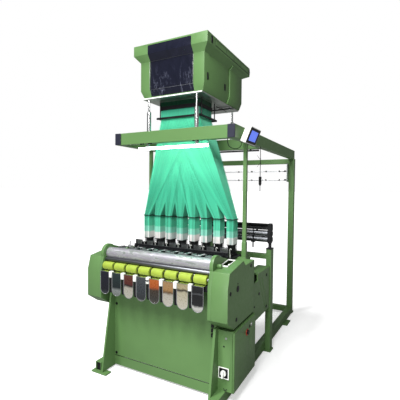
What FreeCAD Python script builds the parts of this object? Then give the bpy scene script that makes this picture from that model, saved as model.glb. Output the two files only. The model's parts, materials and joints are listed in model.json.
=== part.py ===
import FreeCAD, Part
import math
import os

# Power loom: a jacquard needle loom that weaves eight narrow tapes side by side.
#
# Directions: +X is to the right of a weaver who faces the loom, +Y is away from the weaver and
# +Z is up. Sizes are in millimetres. While the loom is built, X = 0 is the middle of the tapes,
# Y = 0 is the face of the front panel and Z = 0 is the floor. At the end every piece is moved by
# the same amount, so that the origin is under the middle of the whole loom.

V = FreeCAD.Vector

# ---------------------------------------------------------------- driving dimensions

TAPE_COUNT = 8
TAPE_PITCH = 123.5          # from one tape's middle to the next
END_ROOM = 4.0              # from the outer tapes' lanes to the side frames
PLATE = 27.0                # thickness of a side frame
COVER_REACH = 127.0         # how far a side cover stands out from its side frame
COVER_WALL = 4.0
WORK_HEIGHT = 893.0         # draw-off shaft above the floor
FRAME_REAR = 680.0          # rear end of the side frames
BEAM_UNDERSIDE = 1926.0     # gantry beams above the floor
BEAM_DEPTH = 102.0
BEAM_WIDTH = 61.0
BEAM_FRONT = 150.0
BEAM_REAR = 2090.0
BEAM_WALL = 4.0
HEAD_LIFT = 275.0           # from the beams' top to the head's base plate
HEAD_HALF_WIDTH = 309.0
HEAD_FRONT = 162.0
HEAD_REAR = 938.0
TAKE_UP_R = 48.0            # take-up roller
PRESS_R = 16.7              # press roller
DRAW_R = 32.0               # rubber draw-off rollers

# ---------------------------------------------------------------- fits

RUNNING = 0.05              # a journal in its bore, on the radius
CLEAR = 0.3                 # between two pieces that pass each other
NIP = 0.35                  # between the take-up roller and the press roller

# ---------------------------------------------------------------- places that follow

HALF = TAPE_COUNT * TAPE_PITCH / 2 + END_ROOM      # inner face of a side frame
OUTER = HALF + PLATE                               # outer face of a side frame
COVER_OUT = OUTER + COVER_REACH                    # outer face of a side cover
BEAM_TOP = BEAM_UNDERSIDE + BEAM_DEPTH
BEAM_IN = OUTER - 5.0
BEAM_OUT = BEAM_IN + BEAM_WIDTH
BASE_UNDER = BEAM_TOP + HEAD_LIFT                  # underside of the head's base plate
BASE_PLATE = 10.0
HEAD_FLOOR = BASE_UNDER + BASE_PLATE

FRAME_UNDER = WORK_HEIGHT - 349.0                  # underside of the side frames and covers
FRAME_TOP = WORK_HEIGHT + 68.0                     # flat top behind the weaving zone
BED_TOP = WORK_HEIGHT + 82.0
BED_PLATE = 20.0
BED_UNDER = WORK_HEIGHT - 13.0                     # lower edge of the bed's lips
RING_TOP = WORK_HEIGHT + 393.0                     # where the harness becomes eight bundles
BUNDLE_END = WORK_HEIGHT + 177.0                   # where the bundles meet the springs

FOOT = 12.0
RAIL_TOP = FOOT + 80.0
RAIL_WIDTH = 60.0
RAIL_FRONT = -150.0
LEFT_RAIL = (-OUTER, -OUTER + RAIL_WIDTH)
RIGHT_RAIL = (COVER_OUT - 52.0 - RAIL_WIDTH, COVER_OUT - 52.0)
LEG_PLATE = (16.0, 20.0)                           # left and right leg plates' thickness
LEFT_LEG = (LEFT_RAIL[1], LEFT_RAIL[1] + LEG_PLATE[0])
RIGHT_LEG = (RIGHT_RAIL[0] - LEG_PLATE[1], RIGHT_RAIL[0])

COVER_FRONT = -116.0
REAR_POST = (OUTER, OUTER + 65.0, BEAM_REAR - 50.0, BEAM_REAR + 15.0)
ROLLER_POST = (COVER_OUT - 52.0, COVER_OUT - 2.0, 905.0, 985.0)
ROLLER_POST_TOP = WORK_HEIGHT + 82.0


def polar(centre, distance, degrees):
    """A point in the YZ plane, at a distance and an angle above +Y from another."""
    angle = math.radians(degrees)
    return (centre[0] + distance * math.cos(angle), centre[1] + distance * math.sin(angle))


# Axes of the rollers and shafts, as (Y, Z). Each roller is placed from the one it runs against.
DRAW_AXIS = (-86.0, WORK_HEIGHT)
PRESS_AXIS = polar(DRAW_AXIS, DRAW_R + PRESS_R + 5.0, 61.0)
TAKE_UP_AXIS = polar(PRESS_AXIS, PRESS_R + TAKE_UP_R + NIP, 46.2)
MAIN_AXIS = (200.0, WORK_HEIGHT - 103.0)
REED_AXIS = (300.0, WORK_HEIGHT + 12.0)
MOTOR_R = 80.0
MOTOR_AXIS = (MAIN_AXIS[0], RAIL_TOP + MOTOR_R + 8.0)

TAKE_UP_JOURNAL = 15.0
PRESS_JOURNAL = 8.0
DRAW_SHAFT = 12.0
MAIN_SHAFT = 16.0
REED_SHAFT = 10.0
JOURNAL_REACH = 35.0        # journals and shafts stand out of the side frames by this much
BED_FRONT = TAKE_UP_AXIS[0] + TAKE_UP_R + 27.0
BED_REAR = 540.0


# ---------------------------------------------------------------- shapes

def box(x, y, z):
    """A box from its three (low, high) pairs."""
    corner = V(x[0], y[0], z[0])
    return Part.makeBox(x[1] - x[0], y[1] - y[0], z[1] - z[0], corner)


def rod_x(axis, radius, x):
    """A round bar along X, about a (Y, Z) axis."""
    return Part.makeCylinder(radius, x[1] - x[0], V(x[0], axis[0], axis[1]), V(1, 0, 0))


def rod_y(axis, radius, y):
    """A round bar along Y, about an (X, Z) axis."""
    return Part.makeCylinder(radius, y[1] - y[0], V(axis[0], y[0], axis[1]), V(0, 1, 0))


def rod_z(axis, radius, z):
    """A round bar along Z, about an (X, Y) axis."""
    return Part.makeCylinder(radius, z[1] - z[0], V(axis[0], axis[1], z[0]), V(0, 0, 1))


def prism(outline, x):
    """A plate whose (Y, Z) outline of points is extruded along X."""
    points = [V(x[0], y, z) for y, z in outline]
    wire = Part.makePolygon(points + points[:1])
    return Part.Face(wire).extrude(V(x[1] - x[0], 0, 0))


def inset(outline, distance):
    """A closed (Y, Z) outline moved inwards by the same distance on every side."""
    count = len(outline)
    area = sum(outline[i][0] * outline[(i + 1) % count][1]
               - outline[(i + 1) % count][0] * outline[i][1] for i in range(count))
    inward = distance if area > 0 else -distance
    moved = []
    for i in range(count):
        before, here, after = outline[i - 1], outline[i], outline[(i + 1) % count]
        first = math.atan2(here[1] - before[1], here[0] - before[0])
        second = math.atan2(after[1] - here[1], after[0] - here[0])
        half_turn = (second - first) / 2
        normal = first + half_turn + math.pi / 2
        reach = inward / math.cos(half_turn)
        moved.append((here[0] + reach * math.cos(normal), here[1] + reach * math.sin(normal)))
    return moved


def hollow_box(x, y, z, wall, along):
    """A rectangular tube that is open at both ends of one axis."""
    spans = [x, y, z]
    inner = [span if axis == along else (span[0] + wall, span[1] - wall)
             for axis, span in zip("xyz", spans)]
    return box(*spans).cut(box(*inner))


def stacked(levels):
    """A solid through rectangles one above the other, each (Z, (low X, high X), (low Y, high Y))."""
    wires = []
    for z, x, y in levels:
        corners = [V(x[0], y[0], z), V(x[1], y[0], z), V(x[1], y[1], z), V(x[0], y[1], z)]
        wires.append(Part.makePolygon(corners + corners[:1]))
    return Part.makeLoft(wires, True, True)


def mirrored(shape):
    """The same shape on the other side of the middle of the tapes."""
    return shape.mirror(V(0, 0, 0), V(1, 0, 0))


def both_sides(shape):
    """A right-hand shape and its left-hand twin, as separate solids."""
    return [shape, mirrored(shape)]


def fused(shapes):
    """One solid from pieces that touch or overlap."""
    return shapes[0].multiFuse(shapes[1:]).removeSplitter()


def lanes(count=TAPE_COUNT):
    """X of the middle of each tape, or of each gap between tapes for a count one lower."""
    return [(k - (count - 1) / 2) * TAPE_PITCH for k in range(count)]


# ---------------------------------------------------------------- side frames and stand

def side_outline():
    """(Y, Z) points of a side frame before and after its round top, and the round top's arc."""
    crown = TAKE_UP_R + 27.0
    leg = (FRAME_REAR - 120.0, FRAME_REAR)
    before = [(COVER_FRONT + 110.0, FRAME_UNDER), (COVER_FRONT, FRAME_UNDER + 77.0),
              (COVER_FRONT, WORK_HEIGHT - 42.0)]
    arc = [polar(TAKE_UP_AXIS, crown, degrees) for degrees in (200.0, 120.0, 50.0)]
    after = [(175.0, FRAME_TOP + 42.0), (225.0, FRAME_TOP), (leg[1], FRAME_TOP),
             (leg[1], RAIL_TOP), (leg[0], RAIL_TOP), (leg[0], FRAME_UNDER)]
    return before, arc, after


def side_frame():
    """The right-hand cast side plate, with its bearing bores and its rear leg."""
    before, arc, after = side_outline()

    def at(point):
        return V(HALF, point[0], point[1])

    edges = []
    chain = before + arc[:1]
    for start, end in zip(chain, chain[1:]):
        edges.append(Part.LineSegment(at(start), at(end)).toShape())
    edges.append(Part.Arc(at(arc[0]), at(arc[1]), at(arc[2])).toShape())
    chain = arc[2:] + after + before[:1]
    for start, end in zip(chain, chain[1:]):
        edges.append(Part.LineSegment(at(start), at(end)).toShape())
    plate = Part.Face(Part.Wire(edges)).extrude(V(PLATE, 0, 0))
    bores = [(TAKE_UP_AXIS, TAKE_UP_JOURNAL), (PRESS_AXIS, PRESS_JOURNAL), (DRAW_AXIS, DRAW_SHAFT),
             (MAIN_AXIS, MAIN_SHAFT), (REED_AXIS, REED_SHAFT)]
    for axis, radius in bores:
        plate = plate.cut(rod_x(axis, radius + RUNNING, (HALF - 1, OUTER + 1)))
    return plate


def cover_outline():
    """(Y, Z) outline of a side cover."""
    return [(COVER_FRONT, FRAME_UNDER + 77.0), (COVER_FRONT, WORK_HEIGHT - 42.0),
            (COVER_FRONT + 30.0, WORK_HEIGHT + 67.0), (175.0, FRAME_TOP + 42.0),
            (225.0, FRAME_TOP), (423.0, FRAME_TOP + 7.0), (416.0, FRAME_UNDER),
            (COVER_FRONT + 110.0, FRAME_UNDER)]


def side_cover():
    """The right-hand gear cover: a shell that is open towards the side frame."""
    outline = cover_outline()
    shell = prism(outline, (OUTER, COVER_OUT))
    return shell.cut(prism(inset(outline, COVER_WALL), (OUTER - 1, COVER_OUT - COVER_WALL)))


def change_gear_hatch():
    """The opening in the right-hand cover's sloping top, above the change gears."""
    return box((OUTER + 10.0, OUTER + 65.0), (20.0, 165.0), (FRAME_TOP - 20.0, FRAME_TOP + 60.0))


def stand():
    """Leg plates, panels, base rails, ties and the plates under them."""
    slope = [(RAIL_FRONT, FOOT), (-30.0, FRAME_UNDER + 196.0), (3.0, FRAME_UNDER + 226.0),
             (BED_FRONT, BED_UNDER), (100.0, BED_UNDER), (100.0, FOOT)]
    lean = (slope[1][0] - slope[0][0]) / (slope[1][1] - slope[0][1])
    right_front = RAIL_FRONT + lean * (FRAME_UNDER - FOOT)
    short = [(RAIL_FRONT, FOOT), (right_front, FRAME_UNDER), (100.0, FRAME_UNDER), (100.0, FOOT)]
    legs = [prism(slope, LEFT_LEG), prism(short, RIGHT_LEG)]

    sheet = (0.0, 3.0)
    seam = 102.5
    panel = box((LEFT_LEG[1], RIGHT_LEG[0]), sheet, (seam + 1.5, FRAME_UNDER))
    panel = fused([panel, box((LEFT_LEG[1], HALF), sheet, (FRAME_UNDER, BED_UNDER))])
    kick = box((LEFT_LEG[1], RIGHT_LEG[0]), sheet, (FOOT + 9.0, seam - 1.5))

    rail_wall = 5.0
    left_rail = hollow_box(LEFT_RAIL, (RAIL_FRONT, REAR_POST[3]), (FOOT, RAIL_TOP), rail_wall, "y")
    right_rail = hollow_box(RIGHT_RAIL, (RAIL_FRONT, REAR_POST[2]), (FOOT, RAIL_TOP), rail_wall, "y")

    tie_x = (LEFT_RAIL[1], RIGHT_RAIL[0])
    tie_width = 60.0
    front_tie = box(tie_x, (MOTOR_AXIS[0] - tie_width / 2, MOTOR_AXIS[0] + tie_width / 2), (FOOT, RAIL_TOP))
    front_tie = front_tie.cut(box(LEFT_LEG, (0.0, 100.0), (FOOT, RAIL_TOP)))
    ties = [front_tie]
    for low in (FRAME_REAR - 90.0, REAR_POST[2] - 70.0):
        ties.append(box(tie_x, (low, low + tie_width), (FOOT + 20.0, RAIL_TOP)))

    feet = []
    spots = [((LEFT_RAIL[0] - 36.0, LEFT_LEG[1] + 49.0), (RAIL_FRONT - 14.0, RAIL_FRONT + 50.0)),
             ((RIGHT_LEG[0] - 20.0, RIGHT_RAIL[1] + 40.0), (RAIL_FRONT - 14.0, RAIL_FRONT + 50.0)),
             ((LEFT_RAIL[0] - 43.0, LEFT_RAIL[0] + 30.0), (1610.0, 1770.0)),
             ((RIGHT_RAIL[1] - 30.0, RIGHT_RAIL[1] + 43.0), (1610.0, 1770.0))]
    margin = 10.0
    for post in (ROLLER_POST, REAR_POST):
        for x in ((post[0], post[1]), (-post[1], -post[0])):
            spots.append(((x[0] - margin, x[1] + margin), (post[2] - margin, post[3] + margin)))
    for x, y in spots:
        feet.append(box(x, y, (0.0, FOOT)))
    return {"leg_plates": legs, "front_panel": [panel], "kick_panel": [kick],
            "base_rails": [left_rail, right_rail], "floor_ties": ties, "foot_plates": feet}


# ---------------------------------------------------------------- gantry

CROSS_WIDTH = 60.0
COLUMN_FRONT = BEAM_FRONT + CROSS_WIDTH / 2
COLUMN_REAR = HEAD_REAR - 28.0
MID_POST_Y = (645.0, 455.0)         # left, right
MID_POST_X = BEAM_IN + BEAM_WIDTH / 2
MID_POST = 30.0
COLUMN_X = 234.0
END_CAP = 10.0
REAR_CROSS_DEPTH = 60.0
LOW_CROSS_DEPTH = 45.0


def gantry():
    """Side beams, cross beams, their end caps, and the posts that carry them."""
    side = hollow_box((BEAM_IN, BEAM_OUT), (BEAM_FRONT, BEAM_REAR), (BEAM_UNDERSIDE, BEAM_TOP), BEAM_WALL, "y")
    front_cap = box((BEAM_IN, BEAM_OUT), (BEAM_FRONT - END_CAP, BEAM_FRONT), (BEAM_UNDERSIDE, BEAM_TOP))
    rear_cap = box((BEAM_IN, BEAM_OUT), (BEAM_REAR, BEAM_REAR + END_CAP), (BEAM_UNDERSIDE, BEAM_TOP))

    cross = []
    span = (-BEAM_IN, BEAM_IN)
    beam_z = (BEAM_UNDERSIDE, BEAM_TOP)
    for low in (BEAM_FRONT, COLUMN_REAR - CROSS_WIDTH / 2):
        cross.append(hollow_box(span, (low, low + CROSS_WIDTH), beam_z, BEAM_WALL, "x"))
    rear_z = (BEAM_UNDERSIDE - REAR_CROSS_DEPTH, BEAM_UNDERSIDE)
    cross.append(box((-REAR_POST[0], REAR_POST[0]), (REAR_POST[2] + 5.0, REAR_POST[3] - 5.0), rear_z))
    low_top = ROLLER_POST_TOP - 50.0
    low_y = (ROLLER_POST[2] + 10.0, ROLLER_POST[3] - 10.0)
    cross.append(box((-ROLLER_POST[0], ROLLER_POST[0]), low_y, (low_top - LOW_CROSS_DEPTH, low_top)))

    rear = hollow_box(REAR_POST[0:2], REAR_POST[2:4], (FOOT, BEAM_UNDERSIDE), BEAM_WALL, "z")
    posts = []
    for mirror_it, y in ((False, MID_POST_Y[1]), (True, MID_POST_Y[0])):
        post = mid_post(y)
        posts.append(mirrored(post) if mirror_it else post)
    return {"side_beam_right": [side], "side_beam_left": [mirrored(side)],
            "beam_end_caps": both_sides(front_cap) + both_sides(rear_cap), "cross_beams": cross,
            "rear_posts": both_sides(rear), "mid_posts": posts}


def mid_post(y):
    """A square post from the side frame's top to the side beam, with its socket and flange."""
    def square(size, z):
        return box((MID_POST_X - size / 2, MID_POST_X + size / 2), (y - size / 2, y + size / 2), z)

    flange = box((HALF, MID_POST_X + 22.0), (y - 23.0, y + 23.0), (FRAME_TOP, FRAME_TOP + 8.0))
    socket = square(MID_POST + 7.0, (FRAME_TOP + 8.0, FRAME_TOP + 138.0))
    return fused([flange, socket, square(MID_POST, (FRAME_TOP + 138.0, BEAM_UNDERSIDE))])


def head_columns():
    """Four stepped columns between the cross beams and the head's base plate."""
    columns = []
    shoulder = BEAM_TOP + 162.0
    for y in (COLUMN_FRONT, COLUMN_REAR):
        for x in (-COLUMN_X, COLUMN_X):
            sleeve = rod_z((x, y), 18.0, (BEAM_TOP, shoulder))
            cone = Part.makeCone(18.0, 8.0, 15.0, V(x, y, shoulder), V(0, 0, 1))
            rod = rod_z((x, y), 8.0, (shoulder + 15.0, BASE_UNDER))
            columns.append(fused([sleeve, cone, rod]))
    return columns


# ---------------------------------------------------------------- jacquard head

HEAD_WALL = 8.0
HEAD_BASE_INSET = 25.0
CAP_OUT = (46.0, 40.0, 115.0)       # how far the cap stands out at the sides, front and rear
CHAMFER_LOW = 63.0                  # heights above the head's floor
WALL_TOP = 303.0
CAP_FOOT = 355.0
HEAD_HEIGHT = 437.0
WINDOW_HALF = 210.0
WINDOW_GAP = 0.5
WINDOW_PIN = (HEAD_FRONT - CAP_OUT[1] + 3.0, HEAD_FLOOR + HEAD_HEIGHT - 20.0)
WINDOW_PIN_R = 2.5
KNIFE_ROD_R = 8.0
KNIFE_LEVELS = (HEAD_FLOOR + 117.0, HEAD_FLOOR + 257.0)
KNIFE_DEPTH = 14.0
CHUTE = ((-195.0, 195.0), (300.0, 530.0))
CHUTE_DROP = 41.0
BOARD_DROP = 32.0
BOARD_UNDER = BASE_UNDER - CHUTE_DROP - BOARD_DROP


def head_levels(grow, floor, top):
    """Rectangles of the head's outside, or of its inside for a negative grow."""
    side, front, rear = CAP_OUT
    steps = [(floor, -HEAD_BASE_INSET, -HEAD_BASE_INSET, -HEAD_BASE_INSET), (CHAMFER_LOW, 0, 0, 0),
             (WALL_TOP, 0, 0, 0), (CAP_FOOT, side, front, rear), (top, side, front, rear)]
    levels = []
    for z, dx, dfront, drear in steps:
        half = HEAD_HALF_WIDTH + dx + grow
        levels.append((HEAD_FLOOR + z, (-half, half), (HEAD_FRONT - dfront - grow, HEAD_REAR + drear + grow)))
    return levels


def knife_rod_spots():
    """(X, Y) of the four rods on which the knife frames slide."""
    return [(x, y) for x in (-230.0, 230.0) for y in (HEAD_FRONT + 78.0, HEAD_REAR - 78.0)]


def head_shell():
    """The head's hollow housing, with the opening for its front window."""
    shell = stacked(head_levels(0.0, 0.0, HEAD_HEIGHT))
    shell = shell.cut(stacked(head_levels(-HEAD_WALL, -1.0, HEAD_HEIGHT - HEAD_WALL)))
    opening = box((-WINDOW_HALF, WINDOW_HALF), (HEAD_FRONT - 60.0, HEAD_FRONT + 38.0),
                  (HEAD_FLOOR + 12.0, HEAD_FLOOR + HEAD_HEIGHT - 12.0))
    shell = shell.cut(opening)
    pins = rod_x(WINDOW_PIN, WINDOW_PIN_R + RUNNING, (-WINDOW_HALF - 8.0, WINDOW_HALF + 8.0))
    return shell.cut(pins)


def head_window():
    """The smoked window: a bent sheet that follows the front, on two stub pins at its top."""
    low, high = 13.0, HEAD_HEIGHT - 14.0
    bottom_y = HEAD_FRONT + HEAD_BASE_INSET * (1 - low / CHAMFER_LOW)
    front = [(bottom_y, low), (HEAD_FRONT, CHAMFER_LOW), (HEAD_FRONT, WALL_TOP),
             (HEAD_FRONT - CAP_OUT[1], CAP_FOOT), (HEAD_FRONT - CAP_OUT[1], high)]
    sheet = 6.0
    outline = [(y, HEAD_FLOOR + z) for y, z in front]
    outline += [(y + sheet, HEAD_FLOOR + z) for y, z in reversed(front)]
    edge = WINDOW_HALF - WINDOW_GAP
    pins = [rod_x(WINDOW_PIN, WINDOW_PIN_R, x) for x in ((edge - 5.0, edge + 7.0), (-edge - 7.0, 5.0 - edge))]
    return fused([prism(outline, (-edge, edge))] + pins)


def head_base():
    """The head's base plate, the chute under it and the knife frames' four rods."""
    plate = box((-290.0, 290.0), (HEAD_FRONT + 3.0, HEAD_REAR - 8.0), (BASE_UNDER, HEAD_FLOOR))
    chute = box(CHUTE[0], CHUTE[1], (BASE_UNDER - CHUTE_DROP, BASE_UNDER))
    rods = [rod_z(spot, KNIFE_ROD_R, (HEAD_FLOOR, HEAD_FLOOR + HEAD_HEIGHT - HEAD_WALL))
            for spot in knife_rod_spots()]
    base = fused([plate, chute] + rods)
    wall = 8.0
    throat = box((CHUTE[0][0] + wall, CHUTE[0][1] - wall), (CHUTE[1][0] + wall, CHUTE[1][1] - wall),
                 (BASE_UNDER - CHUTE_DROP, HEAD_FLOOR))
    return base.cut(throat)


def knife_frame(level):
    """A lifting frame: two rails bored for the rods, and ten knives between them."""
    z = (level, level + KNIFE_DEPTH)
    rails = [box((-245.0, -215.0), (HEAD_FRONT + 58.0, HEAD_REAR - 58.0), z),
             box((215.0, 245.0), (HEAD_FRONT + 58.0, HEAD_REAR - 58.0), z)]
    first, count = HEAD_FRONT + 110.0, 10
    step = (HEAD_REAR - HEAD_FRONT - 220.0) / (count - 1)
    knives = [box((-215.0, 215.0), (first + k * step - 4.0, first + k * step + 4.0), z) for k in range(count)]
    frame = fused(rails + knives)
    for spot in knife_rod_spots():
        frame = frame.cut(rod_z(spot, KNIFE_ROD_R + RUNNING, (z[0] - 1, z[1] + 1)))
    return frame


def hook_modules():
    """The eight banks of hooks that stand on the base plate, over the chute."""
    width, gap = 42.0, 8.0
    banks = []
    for k in range(8):
        low = (k - 4) * (width + gap) + gap / 2
        banks.append(box((low, low + width), (HEAD_FRONT + 98.0, HEAD_REAR - 98.0),
                         (HEAD_FLOOR, HEAD_FLOOR + 87.0)))
    return banks


def guide_frame():
    """Black bars around the harness under the comber board, hung from the base plate."""
    z = (BASE_UNDER - 153.0, BASE_UNDER - 137.0)
    front = box((CHUTE[0][0] - 34.0, CHUTE[0][1] + 20.0), (284.0, 297.0), z)
    side = box((CHUTE[0][1] + 6.0, CHUTE[0][1] + 20.0), (297.0, 600.0), z)
    middle = CHUTE[0][1] + 13.0
    hangers = [rod_z((middle, y), 5.0, (z[1], BASE_UNDER)) for y in (312.0, 560.0)]
    side = fused([side] + hangers)
    rear = box((CHUTE[0][0] - 6.0, CHUTE[0][1] + 6.0), (586.0, 600.0), z)
    return [front, rear] + both_sides(side)


# ---------------------------------------------------------------- harness

BUNDLE = (64.0, 100.0)              # across and along one tape's bundle
BUNDLE_Y = 470.0
FAN_TOP = BASE_UNDER - 148.0


def harness_cords():
    """The cords' whole outer shape: every tape's cords fan in from the full width of the board."""
    fans = []
    y = (BUNDLE_Y - BUNDLE[1] / 2, BUNDLE_Y + BUNDLE[1] / 2)
    for middle in lanes():
        x = (middle - BUNDLE[0] / 2, middle + BUNDLE[0] / 2)
        fans.append(stacked([(BOARD_UNDER, CHUTE[0], CHUTE[1]), (FAN_TOP, CHUTE[0], CHUTE[1]),
                             (RING_TOP, x, y), (BUNDLE_END, x, y)]))
    return fused(fans)


def harness_rings():
    """A flat ring around each bundle, just under the point where the cords turn straight down."""
    rings = []
    rim = 10.0
    for middle in lanes():
        outer = (BUNDLE[0] / 2 + rim, BUNDLE[1] / 2 + rim)
        inner = (BUNDLE[0] / 2 + CLEAR, BUNDLE[1] / 2 + CLEAR)
        z = (RING_TOP - 6.0, RING_TOP)
        ring = box((middle - outer[0], middle + outer[0]), (BUNDLE_Y - outer[1], BUNDLE_Y + outer[1]), z)
        rings.append(ring.cut(box((middle - inner[0], middle + inner[0]),
                                  (BUNDLE_Y - inner[1], BUNDLE_Y + inner[1]), z)))
    return rings


def heald_springs():
    """The block of return springs that pulls each bundle down to the bed."""
    blocks = []
    for middle in lanes():
        blocks.append(box((middle - BUNDLE[0] / 2 + 2.0, middle + BUNDLE[0] / 2 - 2.0),
                          (BUNDLE_Y - BUNDLE[1] / 2 + 2.0, BUNDLE_Y + BUNDLE[1] / 2 - 2.0),
                          (BED_TOP, BUNDLE_END)))
    return blocks


# ---------------------------------------------------------------- weaving zone

REED_ARM = (HALF - 43.0, HALF - 23.0)
REED_WIDTH = 76.0
REED_HEIGHT = 40.0
REED_THICK = 8.0
BATTEN_DEPTH = 30.0
WEFT_TRAVEL = 50.0
KNIT_TRAVEL = 15.0


def weaving_bed():
    """The cast bed between the side frames, with slots for the batten's arms."""
    top = box((-HALF, HALF), (BED_FRONT, BED_REAR), (BED_TOP - BED_PLATE, BED_TOP))
    lips = [box((-HALF, HALF), y, (BED_UNDER, BED_TOP - BED_PLATE))
            for y in ((BED_FRONT, BED_FRONT + 15.0), (BED_REAR - 15.0, BED_REAR))]
    bed = fused([top] + lips)
    slot = box((REED_ARM[0] - 6.0, REED_ARM[1] + 6.0), (REED_AXIS[0] - 50.0, REED_AXIS[0] + 30.0),
               (BED_TOP - BED_PLATE, BED_TOP))
    return bed.cut(slot).cut(mirrored(slot))


def fell_plates():
    """An angle plate at each tape's fell: it stands on the bed and looks over the needle bar."""
    plates = []
    top = TAKE_UP_AXIS[1] + TAKE_UP_R - 5.0
    sheet = 4.0
    for middle in lanes():
        x = (middle - 42.0, middle + 42.0)
        upright = box(x, (BED_FRONT, BED_FRONT + sheet), (BED_TOP, top))
        plates.append(fused([upright, box(x, (BED_FRONT, BED_FRONT + 52.0), (top - sheet, top))]))
    return plates


def knitting_needle_bar():
    """The bar that carries the latch needles, just above the bed."""
    return box((-HALF + 18.0, HALF - 18.0), (BED_FRONT + 10.0, BED_FRONT + 35.0),
               (BED_TOP + CLEAR, BED_TOP + 15.0))


def weft_needle_bar():
    """The sliding bar with one hooked weft needle beside each tape."""
    y = (BED_FRONT + 70.0, BED_FRONT + 95.0)
    z = (BED_TOP + CLEAR, BED_TOP + 25.0)
    pieces = [box((-HALF + WEFT_TRAVEL + 8.0, HALF - 8.0), y, z)]
    bend, wire = 30.0, 3.0
    level = z[1] + 18.0
    for middle in lanes():
        pivot = V(middle + 44.0, (y[0] + y[1]) / 2, z[1])
        post = Part.makeCylinder(5.0, level - z[1], pivot, V(0, 0, 1))
        needle = Part.makeTorus(bend, wire, V(pivot.x - bend, pivot.y, level), V(0, 0, 1), -180, 180, 150)
        pieces += [post, needle]
    return fused(pieces)


def reed_batten():
    """The batten: a shaft low in the bed, two arms, a beam and one reed for each tape."""
    leaning = 5.0                   # the beam stands a little behind the shaft
    middle = REED_AXIS[0] + leaning
    beam_z = (BED_TOP + 25.0, BED_TOP + 50.0)
    reed_y = (middle - REED_THICK / 2, middle + REED_THICK / 2)
    pieces = [rod_x(REED_AXIS, REED_SHAFT, (-OUTER - 5.0, OUTER + 5.0)),
              box((-REED_ARM[1], REED_ARM[1]), (middle - BATTEN_DEPTH / 2, middle + BATTEN_DEPTH / 2), beam_z)]
    pieces += [box((lane - REED_WIDTH / 2, lane + REED_WIDTH / 2), reed_y, (beam_z[1], beam_z[1] + REED_HEIGHT))
               for lane in lanes()]
    arm = box(REED_ARM, (REED_AXIS[0] - 12.0, REED_AXIS[0] + 12.0), (REED_AXIS[1], beam_z[0]))
    return fused(pieces + both_sides(arm))


# ---------------------------------------------------------------- rollers and tape guides

def take_up_roller():
    """The large roller that draws the tapes forward."""
    body = rod_x(TAKE_UP_AXIS, TAKE_UP_R, (-HALF + END_ROOM, HALF - END_ROOM))
    return fused([body, rod_x(TAKE_UP_AXIS, TAKE_UP_JOURNAL, (-OUTER - JOURNAL_REACH, OUTER + JOURNAL_REACH))])


def press_roller():
    """The thin roller under the take-up roller."""
    body = rod_x(PRESS_AXIS, PRESS_R, (-HALF + END_ROOM, HALF - END_ROOM))
    return fused([body, rod_x(PRESS_AXIS, PRESS_JOURNAL, (-OUTER - JOURNAL_REACH, OUTER + JOURNAL_REACH))])


def rubber_rollers():
    """One rubber roller for each tape, pushed on the draw-off shaft."""
    length = TAPE_PITCH - 20.5
    rollers = []
    for middle in lanes():
        x = (middle - length / 2, middle + length / 2)
        tyre = rod_x(DRAW_AXIS, DRAW_R, x)
        edges = [edge for edge in tyre.Edges if edge.Closed and edge.Length > DRAW_R]
        tyre = tyre.makeFillet(5.0, edges)
        rollers.append(tyre.cut(rod_x(DRAW_AXIS, DRAW_SHAFT + RUNNING / 5, (x[0] - 1, x[1] + 1))))
    return rollers


GUIDE_WIDTH = TAPE_PITCH - 27.5
GUIDE_FACE = -143.0
GUIDE_SHEET = 3.0
GUIDE_LENGTH = 188.0
RAIL_Y = (-112.0, -92.0)
RAIL_Z = (WORK_HEIGHT - 78.0, WORK_HEIGHT - 38.0)
STRIP = 6.0


def tape_guides():
    """Round-ended chutes down which the finished tapes run: each hangs from the rail by a tab."""
    guides = []
    half = GUIDE_WIDTH / 2
    face = (GUIDE_FACE, GUIDE_FACE + GUIDE_SHEET)
    tab_z = (RAIL_Z[1], RAIL_Z[1] + GUIDE_SHEET)
    end_z = tab_z[1] - GUIDE_LENGTH + half
    for middle in lanes():
        x = (middle - half, middle + half)
        guides.append(fused([box(x, face, (end_z, tab_z[1])), rod_y((middle, end_z), half, face),
                             box(x, (face[0], RAIL_Y[1] - 3.0), tab_z)]))
    return guides


def guide_rail():
    """The rail across the front, with a strip hanging between each pair of guides."""
    rail = box((-HALF, HALF), RAIL_Y, RAIL_Z)
    strips = [box((gap - 9.0, gap + 9.0), (RAIL_Y[0] - STRIP, RAIL_Y[0]), (RAIL_Z[0] - 125.0, RAIL_Z[1]))
              for gap in lanes(TAPE_COUNT - 1)]
    return fused([rail] + strips)


def guide_sleeves():
    """White plastic blocks that keep the tapes apart."""
    blocks = []
    depth = (GUIDE_FACE - 7.0, RAIL_Y[0] - STRIP)
    for gap in lanes(TAPE_COUNT - 1):
        block = box((gap - 13.5, gap + 13.5), depth, (RAIL_Z[0], RAIL_Z[0] + 48.0))
        corners = [edge for edge in block.Edges
                   if abs(edge.Vertexes[0].Z - edge.Vertexes[1].Z) > 1 and edge.Vertexes[0].Y < depth[0] + 1]
        blocks.append(block.makeFillet(6.0, corners))
    return blocks


# ---------------------------------------------------------------- drive

PULLEY_X = (HALF - 103.0, HALF - 73.0)
MAIN_PULLEY_R = 110.0
MOTOR_PULLEY_R = 45.0
MOTOR_X = (PULLEY_X[0] - 275.0, PULLEY_X[0] - 35.0)
MOTOR_SHAFT = 14.0


def main_shaft():
    """The main shaft through both side frames, with its belt pulley."""
    shaft = rod_x(MAIN_AXIS, MAIN_SHAFT, (-OUTER - JOURNAL_REACH, OUTER + JOURNAL_REACH))
    return fused([shaft, rod_x(MAIN_AXIS, MAIN_PULLEY_R, PULLEY_X)])


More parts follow.
